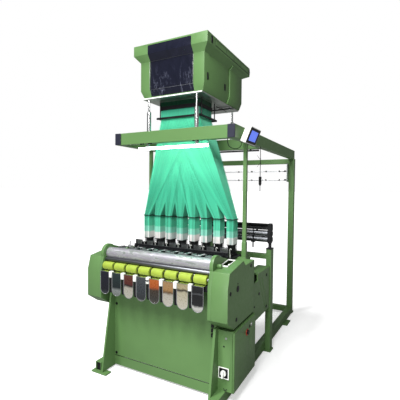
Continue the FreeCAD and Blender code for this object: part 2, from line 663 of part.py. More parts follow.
def motor():
    """The motor and its foot, on the front floor tie."""
    body = rod_x(MOTOR_AXIS, MOTOR_R, MOTOR_X)
    foot = box((MOTOR_X[0] + 30.0, MOTOR_X[1] - 30.0), (MOTOR_AXIS[0] - 70.0, MOTOR_AXIS[0] + 70.0),
               (RAIL_TOP, RAIL_TOP + 30.0))
    seat = rod_x(MOTOR_AXIS, MOTOR_SHAFT + RUNNING, (MOTOR_X[1] - 40.0, MOTOR_X[1] + 1.0))
    return fused([body, foot]).cut(seat)


def motor_pulley():
    """The motor's small pulley and its shaft."""
    shaft = rod_x(MOTOR_AXIS, MOTOR_SHAFT, (MOTOR_X[1] - 39.0, PULLEY_X[0]))
    return fused([shaft, rod_x(MOTOR_AXIS, MOTOR_PULLEY_R, PULLEY_X)])


def belt_loop(grow, x):
    """The outline of a loop around both pulleys, as a solid."""
    big, small = MAIN_PULLEY_R + grow, MOTOR_PULLEY_R + grow
    distance = MAIN_AXIS[1] - MOTOR_AXIS[1]
    lift = math.degrees(math.asin((big - small) / distance))
    sides = [polar(MAIN_AXIS, big, -lift), polar(MAIN_AXIS, big, 180.0 + lift),
             polar(MOTOR_AXIS, small, 180.0 + lift), polar(MOTOR_AXIS, small, -lift)]
    return fused([rod_x(MAIN_AXIS, big, x), rod_x(MOTOR_AXIS, small, x), prism(sides, x)])


def drive_belt():
    """The flat belt from the motor to the main shaft."""
    x = (PULLEY_X[0] + 3.0, PULLEY_X[1] - 3.0)
    return belt_loop(CLEAR + 6.0, x).cut(belt_loop(CLEAR, (x[0] - 1, x[1] + 1)))


# ---------------------------------------------------------------- rear of the loom

FEED_R = 28.0
FEED_JOURNAL = 10.0
FEED_Y = (ROLLER_POST[2] + ROLLER_POST[3]) / 2
FEED_AXES = ((FEED_Y, ROLLER_POST_TOP + 90.0), (FEED_Y, ROLLER_POST_TOP + 90.0 + 2 * FEED_R + 1.0))
CHEEK = (COVER_OUT - 42.0, COVER_OUT - 12.0)
CHEEK_Z = (ROLLER_POST_TOP + 55.0, ROLLER_POST_TOP + 242.0)


def roller_posts():
    """Square posts at the rear corners of the frame, each with a cap and a short round bar."""
    post = hollow_box(ROLLER_POST[0:2], ROLLER_POST[2:4], (FOOT, ROLLER_POST_TOP), BEAM_WALL, "z")
    cap = box((ROLLER_POST[0] - 2.0, ROLLER_POST[1] + 2.0), (ROLLER_POST[2] - 2.0, ROLLER_POST[3] + 2.0),
              (ROLLER_POST_TOP, ROLLER_POST_TOP + 10.0))
    middle = ((CHEEK[0] + CHEEK[1]) / 2, FEED_Y)
    bar = rod_z(middle, 15.0, (ROLLER_POST_TOP + 10.0, CHEEK_Z[0]))
    return both_sides(fused([post, cap, bar]))


def rear_roller_frame():
    """Two cheeks and the bars between them, which carry the feed rollers."""
    cheek = box(CHEEK, (FEED_Y - 30.0, FEED_Y + 30.0), CHEEK_Z)
    for axis in FEED_AXES:
        cheek = cheek.cut(rod_x(axis, FEED_JOURNAL + RUNNING, (CHEEK[0] - 1, CHEEK[1] + 1)))
    span = (-CHEEK[0], CHEEK[0])
    bars = [box(span, (FEED_Y - 25.0, FEED_Y - 13.0), (CHEEK_Z[1] - 12.0, CHEEK_Z[1])),
            rod_x((FEED_Y + 12.0, CHEEK_Z[1] - 24.0), 12.0, span)]
    return fused(both_sides(cheek) + bars)


def feed_roller(axis):
    """A feed roller and its journals."""
    body = rod_x(axis, FEED_R, (-CHEEK[0] + 3.0, CHEEK[0] - 3.0))
    return fused([body, rod_x(axis, FEED_JOURNAL, (-CHEEK[1], CHEEK[1]))])


def rear_brackets():
    """Angle covers from the side frames to the roller posts, each with a notch at its front."""
    top = WORK_HEIGHT - 73.0
    sheet = 12.0
    side_x = (COVER_OUT - 24.0, COVER_OUT - 24.0 + sheet)
    front = CABINET_Y[1] + 2.0
    side = box(side_x, (front, ROLLER_POST[2]), (top - 390.0, top))
    side = side.cut(box(side_x, (front, 557.0), (top - 60.0, top)))
    lid = box((OUTER, side_x[1]), (560.0, ROLLER_POST[2]), (top - sheet, top))
    return both_sides(fused([side, lid]))


def guide_rods():
    """Two yarn rods in front of the rear posts, on plates fixed to the posts' inner faces."""
    plate = box((REAR_POST[0] - 10.0, REAR_POST[0]), (REAR_POST[2] - 60.0, REAR_POST[2] + 20.0),
                (BEAM_UNDERSIDE - 286.0, BEAM_UNDERSIDE - 60.0))
    span = (-REAR_POST[0] + 10.0, REAR_POST[0] - 10.0)
    y = REAR_POST[2] - 40.0
    rods = [rod_x((y, BEAM_UNDERSIDE - drop), 6.0, span) for drop in (154.0, 262.0)]
    return fused(both_sides(plate) + rods)


# ---------------------------------------------------------------- lamp, screen and hand tool

LAMP_HALF = 342.0
LAMP_Z = (BEAM_UNDERSIDE - 52.0, BEAM_UNDERSIDE - 27.0)


def led_lamp():
    """The lamp bar under the front beam, on two hangers."""
    y = (COLUMN_FRONT - 15.0, COLUMN_FRONT + 15.0)
    bar = box((-LAMP_HALF, LAMP_HALF), y, LAMP_Z)
    hangers = [box((x - 12.0, x + 12.0), (y[0] + 6.0, y[1] - 6.0), (LAMP_Z[1], BEAM_UNDERSIDE))
               for x in (-240.0, 240.0)]
    return fused([bar] + hangers)


SCREEN_TILT = 23.0
SCREEN_PIVOT = (BEAM_OUT + 15.0, BEAM_UNDERSIDE + 59.0)
SCREEN_Y = (245.0, 475.0)
SCREEN_SIZE = (133.0, 45.0)         # height and depth of the case
SCREEN_KNUCKLE = (338.0, 382.0)
SCREEN_PIN_R = 4.0


def display_case():
    """The screen's case, tilted down on its knuckle."""
    height, depth = SCREEN_SIZE
    back = 16.0                     # from the pivot to the back of the case
    low = -73.0                     # from the pivot down to the case's lower edge, before the tilt
    x, z = SCREEN_PIVOT
    case = box((x + back, x + back + depth), SCREEN_Y, (z + low, z + low + height))
    edges = [edge for edge in case.Edges if abs(edge.Vertexes[0].X - edge.Vertexes[1].X) > 1]
    case = case.makeFillet(8.0, edges)
    knuckle_y = (SCREEN_KNUCKLE[0] + CLEAR, SCREEN_KNUCKLE[1] - CLEAR)
    web = box((x, x + back + 2.0), knuckle_y, (z - 5.0, z + 5.0))
    case = fused([case, web, rod_y(SCREEN_PIVOT, 9.0, knuckle_y)])
    case = case.cut(rod_y(SCREEN_PIVOT, SCREEN_PIN_R + RUNNING, (knuckle_y[0] - 1, knuckle_y[1] + 1)))
    case.rotate(V(x, 0, z), V(0, 1, 0), SCREEN_TILT)
    return case


def display_bracket():
    """The plate on the side beam, with two lugs and the pin of the screen's knuckle."""
    x, z = SCREEN_PIVOT
    plate = box((BEAM_OUT, BEAM_OUT + 4.0), (320.0, 400.0), (BEAM_UNDERSIDE + 9.0, BEAM_TOP - 8.0))
    pieces = [plate, rod_y(SCREEN_PIVOT, SCREEN_PIN_R, SCREEN_KNUCKLE)]
    for y in ((SCREEN_KNUCKLE[0] - 8.0, SCREEN_KNUCKLE[0]), (SCREEN_KNUCKLE[1], SCREEN_KNUCKLE[1] + 8.0)):
        pieces += [rod_y(SCREEN_PIVOT, 10.0, y), box((BEAM_OUT + 4.0, x), y, (z - 10.0, z + 10.0))]
    return fused(pieces)


def cord(route, radius):
    """A round cord along straight runs joined by tangent arcs, and the radii of its bends."""
    points = [V(*point) for point in route]
    edges, radii, here = [], [], points[0]
    for before, corner, after in zip(points, points[1:], points[2:]):
        arriving, leaving = (corner - before), (after - corner)
        shorter = min(arriving.Length, leaving.Length)
        arriving.normalize()
        leaving.normalize()
        half_turn = math.acos(max(-1.0, min(1.0, arriving.dot(leaving)))) / 2
        radii.append(0.45 * shorter / math.tan(half_turn))
        start = corner - arriving * 0.45 * shorter
        end = corner + leaving * 0.45 * shorter
        inward = (leaving - arriving)
        inward.normalize()
        middle = corner + inward * (radii[-1] / math.cos(half_turn) - radii[-1])
        edges.append(Part.LineSegment(here, start).toShape())
        edges.append(Part.Arc(start, middle, end).toShape())
        here = end
    edges.append(Part.LineSegment(here, points[-1]).toShape())
    path = Part.Wire(edges)
    section = Part.Wire(Part.makeCircle(radius, points[0], points[1] - points[0]))
    return path.makePipeShell([section], True, False), radii


CABLE_R = 3.0
CABLE_ROUTE = [(BEAM_IN - 15.0, 182.0, BEAM_UNDERSIDE), (BEAM_IN - 15.0, 182.0, BEAM_UNDERSIDE - 34.0),
               (BEAM_IN - 8.0, 204.0, BEAM_UNDERSIDE - 62.0), (BEAM_IN + 10.0, 246.0, BEAM_UNDERSIDE - 74.0),
               (BEAM_IN + 32.0, 294.0, BEAM_UNDERSIDE - 66.0), (BEAM_IN + 45.0, 326.0, BEAM_UNDERSIDE - 38.0),
               (BEAM_IN + 47.0, 331.0, BEAM_UNDERSIDE)]


def display_cable():
    """The screen's lead, from the front beam's underside to the side beam's, below the screen."""
    tube, radii = cord(CABLE_ROUTE, CABLE_R)
    print("display cable bend radii, mm:", [round(radius, 1) for radius in radii])
    return tube


TOOL_SPOT = (BEAM_OUT - 6.0, 770.0)
TOOL_CORD_R = 3.0
TOOL_DROP = 270.0


def tool_cord():
    """The straight cord on which the hand tool hangs from the side beam."""
    return rod_z(TOOL_SPOT, TOOL_CORD_R, (BEAM_UNDERSIDE - TOOL_DROP, BEAM_UNDERSIDE))


def hand_tool():
    """The hand tool: a handle with a collar and a thin tip."""
    top = BEAM_UNDERSIDE - TOOL_DROP
    handle = rod_z(TOOL_SPOT, 12.5, (top - 66.0, top))
    collar = Part.makeCone(7.0, 12.5, 15.0, V(TOOL_SPOT[0], TOOL_SPOT[1], top - 81.0), V(0, 0, 1))
    tip = rod_z(TOOL_SPOT, 2.5, (top - 130.0, top - 81.0))
    return fused([handle, collar, tip])


# ---------------------------------------------------------------- electric cabinet

CABINET_X = (RIGHT_LEG[1], COVER_OUT - 2.0)
CABINET_Y = (-18.0, 430.0)
CABINET_Z = (RAIL_TOP, FRAME_UNDER - 14.0)
CABINET_WALL = 3.0
DOOR_THICK = 17.4
DOOR_AXIS = (CABINET_X[1] + CLEAR + DOOR_THICK / 2, CABINET_Y[0] + 6.0)
DOOR_PIN_R = 3.0
LUG = 4.0
SWITCH_AXIS = (CABINET_X[0] + 47.0, CABINET_Z[0] + 133.0)
SWITCH_PLATE = (80.0, 6.0)
BUTTON_AXIS = (233.0, CABINET_Z[1] - 86.0)
BUTTON_STEM_R = 11.0
BUTTON_TRAVEL = 5.0


def cabinet_body():
    """The electric cabinet, open towards the door, with hinge lugs and the main switch's plate."""
    body = box(CABINET_X, CABINET_Y, CABINET_Z)
    wall = CABINET_WALL
    body = body.cut(box((CABINET_X[0] + wall, CABINET_X[1] + 1), (CABINET_Y[0] + wall, CABINET_Y[1] - wall),
                        (CABINET_Z[0] + wall, CABINET_Z[1] - wall)))
    pieces = [body]
    for z in ((CABINET_Z[0], CABINET_Z[0] + LUG), (CABINET_Z[1] - LUG, CABINET_Z[1])):
        lug = box((CABINET_X[1], DOOR_AXIS[0]), (DOOR_AXIS[1] - 6.0, DOOR_AXIS[1] + 8.0), z)
        pieces.append(fused([lug, rod_z(DOOR_AXIS, 6.0, z)]))
    half = SWITCH_PLATE[0] / 2
    pieces.append(box((SWITCH_AXIS[0] - half, SWITCH_AXIS[0] + half),
                      (CABINET_Y[0] - SWITCH_PLATE[1], CABINET_Y[0]),
                      (SWITCH_AXIS[1] - half, SWITCH_AXIS[1] + half)))
    body = fused(pieces)
    body = body.cut(rod_z(DOOR_AXIS, DOOR_PIN_R + RUNNING, (CABINET_Z[0] - 1, CABINET_Z[1] + 1)))
    stem = rod_y(SWITCH_AXIS, 5.0 + RUNNING, (CABINET_Y[0] - 7.0, CABINET_Y[0] + wall + 1))
    return body.cut(stem)


def cabinet_door():
    """The door: a tray with a round hinge edge, on a pin at its top and bottom."""
    z = (CABINET_Z[0] + LUG + 0.5, CABINET_Z[1] - LUG - 0.5)
    x = (CABINET_X[1] + CLEAR, CABINET_X[1] + CLEAR + DOOR_THICK)
    rear = CABINET_Y[1] + 2.0
    tray = fused([box(x, (DOOR_AXIS[1], rear), z), rod_z(DOOR_AXIS, DOOR_THICK / 2, z)])
    bevel = [edge for edge in tray.Edges if all(v.X > x[1] - 0.1 and v.Y > rear - 0.1 for v in edge.Vertexes)]
    tray = tray.makeChamfer(8.0, bevel)
    rim = 8.0
    tray = tray.cut(box((x[0] - 1, x[1] - CABINET_WALL), (DOOR_AXIS[1] + 12.0, rear - rim - 6.0),
                        (z[0] + rim, z[1] - rim)))
    pins = [rod_z(DOOR_AXIS, DOOR_PIN_R, pin_z)
            for pin_z in ((CABINET_Z[0] + 0.5, z[0] + 5.0), (z[1] - 5.0, CABINET_Z[1] - 0.5))]
    door = fused([tray] + pins)
    return door.cut(rod_x(BUTTON_AXIS, BUTTON_STEM_R + RUNNING, (x[0], x[1] + 1)))


def stop_button():
    """The mushroom button on the door."""
    face = CABINET_X[1] + CLEAR + DOOR_THICK
    stem = rod_x(BUTTON_AXIS, BUTTON_STEM_R, (face - 8.0, face + BUTTON_TRAVEL + 1.0))
    cap = rod_x(BUTTON_AXIS, 17.0, (face + BUTTON_TRAVEL + 1.0, face + BUTTON_TRAVEL + 9.0))
    return fused([stem, cap])


def switch_knob():
    """The main switch's round knob with its grip bar."""
    face = CABINET_Y[0] - SWITCH_PLATE[1]
    x, z = SWITCH_AXIS
    disc = rod_y(SWITCH_AXIS, 21.0, (face - 12.0, face - CLEAR))
    grip = box((x - 6.0, x + 6.0), (face - 28.0, face - 12.0), (z - 27.0, z + 20.0))
    stem = rod_y(SWITCH_AXIS, 5.0, (face - CLEAR, CABINET_Y[0] + CABINET_WALL))
    return fused([disc, grip, stem])


# ---------------------------------------------------------------- the whole loom

def loom():
    """Every node's list of solids, before the loom is moved over its origin."""
    right_frame = side_frame()
    right_cover = side_cover()
    nodes = {"side_frame_right": [right_frame], "side_frame_left": [mirrored(right_frame)],
             "housing_right": [right_cover.cut(change_gear_hatch())], "housing_left": [mirrored(right_cover)]}
    nodes.update(stand())
    nodes.update(gantry())
    nodes["head_columns"] = head_columns()
    nodes["guide_frame"] = guide_frame()
    nodes["hook_modules"] = hook_modules()
    nodes["harness_rings"] = harness_rings()
    nodes["heald_springs"] = heald_springs()
    nodes["fell_plates"] = fell_plates()
    nodes["rubber_rollers"] = rubber_rollers()
    nodes["tape_guides"] = tape_guides()
    nodes["guide_sleeves"] = guide_sleeves()
    nodes["roller_posts"] = roller_posts()
    nodes["rear_brackets"] = rear_brackets()
    board = box((CHUTE[0][0] - 5.0, CHUTE[0][1] + 5.0), (CHUTE[1][0] - 5.0, CHUTE[1][1] + 5.0),
                (BOARD_UNDER, BOARD_UNDER + BOARD_DROP))
    shaft = rod_x(DRAW_AXIS, DRAW_SHAFT, (-OUTER - JOURNAL_REACH, OUTER + JOURNAL_REACH))
    single = {"head_shell": head_shell(), "head_window": head_window(), "head_base": head_base(),
              "knife_frame_lower": knife_frame(KNIFE_LEVELS[0]),
              "knife_frame_upper": knife_frame(KNIFE_LEVELS[1]),
              "comber_board": board, "harness_cords": harness_cords(), "weaving_bed": weaving_bed(),
              "knitting_needle_bar": knitting_needle_bar(), "weft_needle_bar": weft_needle_bar(),
              "reed_batten": reed_batten(), "take_up_roller": take_up_roller(), "press_roller": press_roller(),
              "draw_off_shaft": shaft, "guide_rail": guide_rail(), "main_shaft": main_shaft(),
              "motor": motor(), "motor_pulley": motor_pulley(), "drive_belt": drive_belt(),
              "rear_roller_frame": rear_roller_frame(), "feed_roller_lower": feed_roller(FEED_AXES[0]),
              "feed_roller_upper": feed_roller(FEED_AXES[1]), "guide_rods": guide_rods(),
              "led_lamp": led_lamp(), "display_case": display_case(), "display_bracket": display_bracket(),
              "display_cable": display_cable(), "tool_cord": tool_cord(), "hand_tool": hand_tool(),
              "cabinet_body": cabinet_body(), "cabinet_door": cabinet_door(), "stop_button": stop_button(),
              "switch_knob": switch_knob()}
    nodes.update({name: [shape] for name, shape in single.items()})
    return nodes


def over_origin(nodes):
    """The move that puts the origin under the middle of the loom."""
    whole = FreeCAD.BoundBox()
    for shapes in nodes.values():
        for shape in shapes:
            whole.add(shape.optimalBoundingBox(False))
    return V(-whole.Center.x, -whole.Center.y, -whole.ZMin)


NODES = loom()
MOVE = over_origin(NODES)
os.makedirs("parts", exist_ok=True)
for name, shapes in sorted(NODES.items()):
    solids = [solid for shape in shapes for solid in shape.Solids]
    whole = solids[0] if len(solids) == 1 else Part.makeCompound(solids)
    whole.translate(MOVE)
    whole.exportStep("parts/%s.step" % name)
    if not whole.isValid() or whole.Volume <= 0:
        print("not a valid solid:", name)
print(len(NODES), "nodes, moved by", [round(value, 2) for value in MOVE])
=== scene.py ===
"""The looks of a jacquard needle loom for eight narrow tapes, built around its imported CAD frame.

Shapes are made in the loom's own millimetres: X from the middle of the tapes, Y from the face of the
front panel and Z from the floor. Each finished piece is then laid over the CAD frame, in metres.
"""
import json
import logging
import math
import random
from collections.abc import Callable, Iterable, Sequence
from dataclasses import dataclass, field
from enum import Enum

import bmesh
import bpy
from mathutils import Matrix, Vector, noise

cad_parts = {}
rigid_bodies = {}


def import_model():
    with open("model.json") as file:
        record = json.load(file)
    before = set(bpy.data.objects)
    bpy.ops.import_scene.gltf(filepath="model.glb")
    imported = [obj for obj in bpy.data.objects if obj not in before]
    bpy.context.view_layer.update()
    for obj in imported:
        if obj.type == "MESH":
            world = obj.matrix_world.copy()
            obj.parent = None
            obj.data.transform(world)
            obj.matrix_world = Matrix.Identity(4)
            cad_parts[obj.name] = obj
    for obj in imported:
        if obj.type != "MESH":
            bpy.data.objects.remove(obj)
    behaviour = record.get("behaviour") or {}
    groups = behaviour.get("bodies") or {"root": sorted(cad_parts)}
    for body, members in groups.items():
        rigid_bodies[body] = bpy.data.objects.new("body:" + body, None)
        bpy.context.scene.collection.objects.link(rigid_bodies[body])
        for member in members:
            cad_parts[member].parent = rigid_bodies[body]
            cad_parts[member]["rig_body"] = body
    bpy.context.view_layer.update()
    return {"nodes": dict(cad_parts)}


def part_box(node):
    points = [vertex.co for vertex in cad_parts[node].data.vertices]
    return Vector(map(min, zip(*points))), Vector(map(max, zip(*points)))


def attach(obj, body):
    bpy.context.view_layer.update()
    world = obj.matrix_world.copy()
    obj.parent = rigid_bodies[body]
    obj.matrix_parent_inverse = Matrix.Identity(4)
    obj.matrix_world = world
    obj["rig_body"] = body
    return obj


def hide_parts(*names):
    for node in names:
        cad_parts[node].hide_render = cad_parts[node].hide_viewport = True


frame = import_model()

LOG = logging.getLogger("power_loom")
MM = 0.001
BLACK, WHITE = (0.0, 0.0, 0.0, 1.0), (1.0, 1.0, 1.0, 1.0)
SIDES = (-1, 1)
Span = tuple[float, float]
Point = tuple[float, float, float]
Colour = tuple[float, float, float]
Socket = bpy.types.NodeSocket


class Body(Enum):
    """The moving groups of the loom that new pieces ride on."""

    FRAME = "frame"
    TAKE_UP = "take_up"
    DRAW_OFF = "draw_off"
    BATTEN = "batten"
    WINDOW = "window"
    DOOR = "door"
    DISPLAY = "display"


class Slot(Enum):
    """The record's material slots."""

    SAGE = "sage_paint"
    DARK_GREEN = "dark_green_paint"
    BLACK_PAINT = "black_paint"
    BLACK = "black_plastic"
    WHITE = "white_plastic"
    GLASS = "smoked_glass"
    ALUMINIUM = "aluminium"
    STEEL = "steel"
    POLISHED = "polished_steel"
    FOIL = "foil"
    IRON = "cast_iron"
    CORD = "harness_cord"
    LAMP = "lamp"
    RED = "red_plastic"


# ---------------------------------------------------------------- where the loom stands

@dataclass(frozen=True)
class LoomSpace:
    """The loom's own millimetres within the row frame.

    Args:
        middle: the row frame's X at the middle of the tapes, in metres.
        panel: the row frame's Y at the face of the front panel, in metres.
    """

    middle: float
    panel: float

    def matrix(self) -> Matrix:
        """The move and scale from loom millimetres to row-frame metres."""
        return Matrix.Translation((self.middle, self.panel, 0.0)) @ Matrix.Scale(MM, 4)

    def box(self, node: str) -> tuple[Vector, Vector]:
        """The lowest and highest corner of a CAD node, in loom millimetres."""
        back = self.matrix().inverted()
        low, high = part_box(node)
        return back @ low, back @ high

    def axis(self, node: str) -> Span:
        """The Y and Z of the middle line of a roller or shaft that lies across the loom."""
        low, high = self.box(node)
        return (low.y + high.y) / 2, (low.z + high.z) / 2

    def at(self, x: float, y: float, z: float) -> Vector:
        """A point in loom millimetres, as the row frame has it in metres."""
        return self.matrix() @ Vector((x, y, z))


def find_space() -> LoomSpace:
    """The loom's space, read from the tape guides and the front panel."""
    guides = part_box("tape_guides")
    return LoomSpace((guides[0].x + guides[1].x) / 2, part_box("front_panel")[0].y)


SPACE = find_space()
TAPES = 8
GUIDE_WIDTH = 96.0
PITCH = (SPACE.box("tape_guides")[1].x - SPACE.box("tape_guides")[0].x - GUIDE_WIDTH) / (TAPES - 1)


def across(count: int) -> list[float]:
    """Places one pitch apart, about the middle of the loom."""
    return [(k - (count - 1) / 2) * PITCH for k in range(count)]


def about(middle: float, half: float) -> Span:
    """The span that reaches half to each side of its middle."""
    return middle - half, middle + half


def mix(span: Span, share: float) -> float:
    """The value at a share of the way along a span."""
    return span[0] + (span[1] - span[0]) * share


LANES = across(TAPES)
GAPS = across(TAPES - 1)


# ---------------------------------------------------------------- finishes

def srgb(red: float, green: float, blue: float, gain: float = 1.0) -> tuple[float, float, float, float]:
    """A colour of 0 to 255 on a screen, as the linear colour a shader takes.

    Returns:
        Red, green, blue and an alpha of 1.
    """
    parts = [c / 255 for c in (red, green, blue)]
    linear = [c / 12.92 if c <= 0.04045 else ((c + 0.055) / 1.055) ** 2.4 for c in parts]
    return (*[min(1.0, c * gain) for c in linear], 1.0)


class Recipe:
    """A material's node tree, with short calls that add its nodes."""

    def __init__(self, name: str) -> None:
        """Starts a material with one Principled shader that reads Object coordinates."""
        self.material = bpy.data.materials.new(name)
        self.material.use_nodes = True
        self.tree = self.material.node_tree
        self.shader = next(n for n in self.tree.nodes if n.type == "BSDF_PRINCIPLED")
        self.place = self.add("ShaderNodeTexCoord").outputs["Object"]

    def feed(self, socket: Socket, value: Socket | float | tuple) -> None:
        """Joins an input to a source, or sets it to a constant."""
        if isinstance(value, bpy.types.NodeSocket):
            self.tree.links.new(value, socket)
        else:
            socket.default_value = value

    def add(self, kind: str, **inputs: Socket | float | tuple) -> bpy.types.Node:
        """A new node with its inputs fed; an underscore in an input's name stands for a space."""
        node = self.tree.nodes.new(kind)
        for name, value in inputs.items():
            self.feed(node.inputs[name.replace("_", " ")], value)
        return node

    def shade(self, **inputs: Socket | float | tuple) -> bpy.types.Material:
        """Feeds the shader's inputs, named as in add, and gives the material."""
        for name, value in inputs.items():
            self.feed(self.shader.inputs[name.replace("_", " ")], value)
        return self.material

    def stretched(self, scale: Point) -> Socket:
        """The coordinates stretched by a factor along each axis."""
        return self.add("ShaderNodeMapping", Vector=self.place, Scale=scale).outputs["Vector"]

    def noise(self, scale: float, detail: float = 2.0, twist: float = 0.0,
              source: Socket | None = None) -> Socket:
        """A noise pattern's value, on these coordinates or the object's own."""
        return self.add("ShaderNodeTexNoise", Vector=source or self.place, Scale=scale, Detail=detail,
                        Distortion=twist).outputs["Fac"]

    def height(self, low: float, high: float) -> Socket:
        """0 to 1 between two heights of the loom, in millimetres."""
        parts = self.add("ShaderNodeSeparateXYZ", Vector=self.place)
        return self.add("ShaderNodeMapRange", Value=parts.outputs["Z"], From_Min=low * MM,
                        From_Max=high * MM).outputs["Result"]

    def ramp(self, source: Socket, stops: Sequence[tuple[float, tuple]]) -> Socket:
        """Colours along a value from 0 to 1."""
        ramp = self.add("ShaderNodeValToRGB", Fac=source)
        elements = ramp.color_ramp.elements
        while len(elements) < len(stops):
            elements.new(0.5)
        for element, (place, colour) in zip(elements, stops):
            element.position = place
            element.color = colour
        return ramp.outputs["Color"]

    def blend(self, amount: Socket | float, first: Socket | tuple, second: Socket,
              kind: str = "MIX") -> Socket:
        """Two colours mixed by an amount."""
        mixer = self.add("ShaderNodeMix")
        mixer.data_type = "RGBA"
        mixer.blend_type = kind
        for socket, value in zip((0, 6, 7), (amount, first, second)):
            self.feed(mixer.inputs[socket], value)
        return mixer.outputs[2]

    def math(self, operation: str, *values: Socket | float) -> Socket:
        """The outcome of a sum on values."""
        node = self.add("ShaderNodeMath")
        node.operation = operation
        for socket, value in zip(node.inputs, values):
            self.feed(socket, value)
        return node.outputs[0]

    def bump(self, source: Socket, strength: float, depth: float) -> Socket:
        """The surface's normal, raised by a pattern, depth in millimetres."""
        bump = self.add("ShaderNodeBump", Strength=strength, Distance=depth * MM, Height=source)
        return bump.outputs["Normal"]

    def grey(self, source: Socket, low: float, high: float) -> Socket:
        """A pattern spread over a small range of one number, such as a roughness."""
        return self.ramp(source, [(0.3, (low, low, low, 1.0)), (0.7, (high, high, high, 1.0))])


@dataclass(frozen=True)
class Paint:
    """Sprayed machine paint: a fine orange peel and a slow drift of colour."""

    name: str
    colour: Colour
    roughness: float = 0.42
    drift: float = 0.07

    def build(self) -> bpy.types.Material:
        """The paint's material."""
        recipe = Recipe(self.name)
        dark, light = (srgb(*self.colour, gain=1 + side * self.drift) for side in SIDES)
        return recipe.shade(
            Base_Color=recipe.ramp(recipe.noise(2.6, 4.0), [(0.32, dark), (0.68, light)]),
            Roughness=recipe.grey(recipe.noise(38.0, 3.0), self.roughness - 0.05, self.roughness + 0.06),
            Normal=recipe.bump(recipe.noise(620.0, 1.0), 0.14, 0.25),
            Coat_Weight=0.05, Coat_Roughness=0.3, Specular_IOR_Level=0.35)


@dataclass(frozen=True)
class Metal:
    """Bare metal, ground or turned, with its marks along one direction."""

    name: str
    colour: Colour
    roughness: float = 0.3
    marks: Point = (3.0, 260.0, 260.0)

    def build(self) -> bpy.types.Material:
        """The metal's material."""
        recipe = Recipe(self.name)
        grain = recipe.noise(1.0, 5.0, 0.2, recipe.stretched(self.marks))
        dull, bright = (srgb(*self.colour, gain=gain) for gain in (0.78, 1.08))
        return recipe.shade(Base_Color=recipe.ramp(grain, [(0.25, dull), (0.75, bright)]),
                            Roughness=recipe.grey(grain, self.roughness - 0.07, self.roughness + 0.09),
                            Normal=recipe.bump(grain, 0.12, 0.15), Metallic=1.0)


@dataclass(frozen=True)
class Moulded:
    """Moulded plastic or rubber, with a fine even texture."""

    name: str
    colour: Colour
    roughness: float = 0.45
    grain: float = 900.0
    grain_depth: float = 0.2

    def build(self) -> bpy.types.Material:
        """The moulding's material."""
        recipe = Recipe(self.name)
        dark, light = (srgb(*self.colour, gain=1 + side * 0.1) for side in SIDES)
        return recipe.shade(
            Base_Color=recipe.ramp(recipe.noise(22.0, 4.0), [(0.3, dark), (0.7, light)]),
            Roughness=recipe.grey(recipe.noise(80.0), self.roughness - 0.06, self.roughness + 0.08),
            Normal=recipe.bump(recipe.noise(self.grain, 2.0), 0.2, self.grain_depth), Specular_IOR_Level=0.28)


@dataclass(frozen=True)
class Glazing:
    """Smoked glazing with the faint streaks of a wiped sheet, and scuffs towards its foot."""

    name: str
    colour: Colour = (17, 19, 31)

    def build(self) -> bpy.types.Material:
        """The glazing's material."""
        recipe = Recipe(self.name)
        streaks = recipe.noise(1.0, 6.0, 2.2, recipe.stretched((9.0, 6.0, 5.0)))
        fine = recipe.noise(1.0, 5.0, 2.4, recipe.stretched((70.0, 40.0, 11.0)))
        base = srgb(*self.colour)
        scuffed = recipe.ramp(fine, [(0.5, base), (0.575, srgb(112, 116, 134)), (0.61, srgb(22, 24, 38))])
        clean = recipe.ramp(streaks, [(0.3, base), (0.8, srgb(24, 26, 42))])
        patch = recipe.ramp(streaks, [(0.53, BLACK), (0.62, WHITE)])
        low, high = SPACE.box("head_window")
        fade = recipe.ramp(recipe.height(low.z, high.z), [(0.1, WHITE), (0.62, BLACK)])
        return recipe.shade(Base_Color=recipe.blend(recipe.blend(fade, BLACK, patch), clean, scuffed),
                            Roughness=recipe.grey(streaks, 0.1, 0.2), Specular_IOR_Level=0.4)


@dataclass(frozen=True)
class Foil:
    """A thin bright cover with creases and a weak tint of mauve and green."""

    name: str

    def build(self) -> bpy.types.Material:
        """The foil's material."""
        recipe = Recipe(self.name)
        creases = recipe.noise(1.0, 5.0, 1.2, recipe.stretched((7.0, 34.0, 34.0)))
        tints = [(0.3, srgb(152, 160, 155)), (0.45, srgb(184, 186, 187)), (0.58, srgb(166, 162, 172)),
                 (0.72, srgb(196, 197, 200))]
        return recipe.shade(Base_Color=recipe.ramp(creases, tints), Roughness=recipe.grey(creases, 0.22, 0.42),
                            Normal=recipe.bump(creases, 0.4, 2.0), Metallic=0.55)


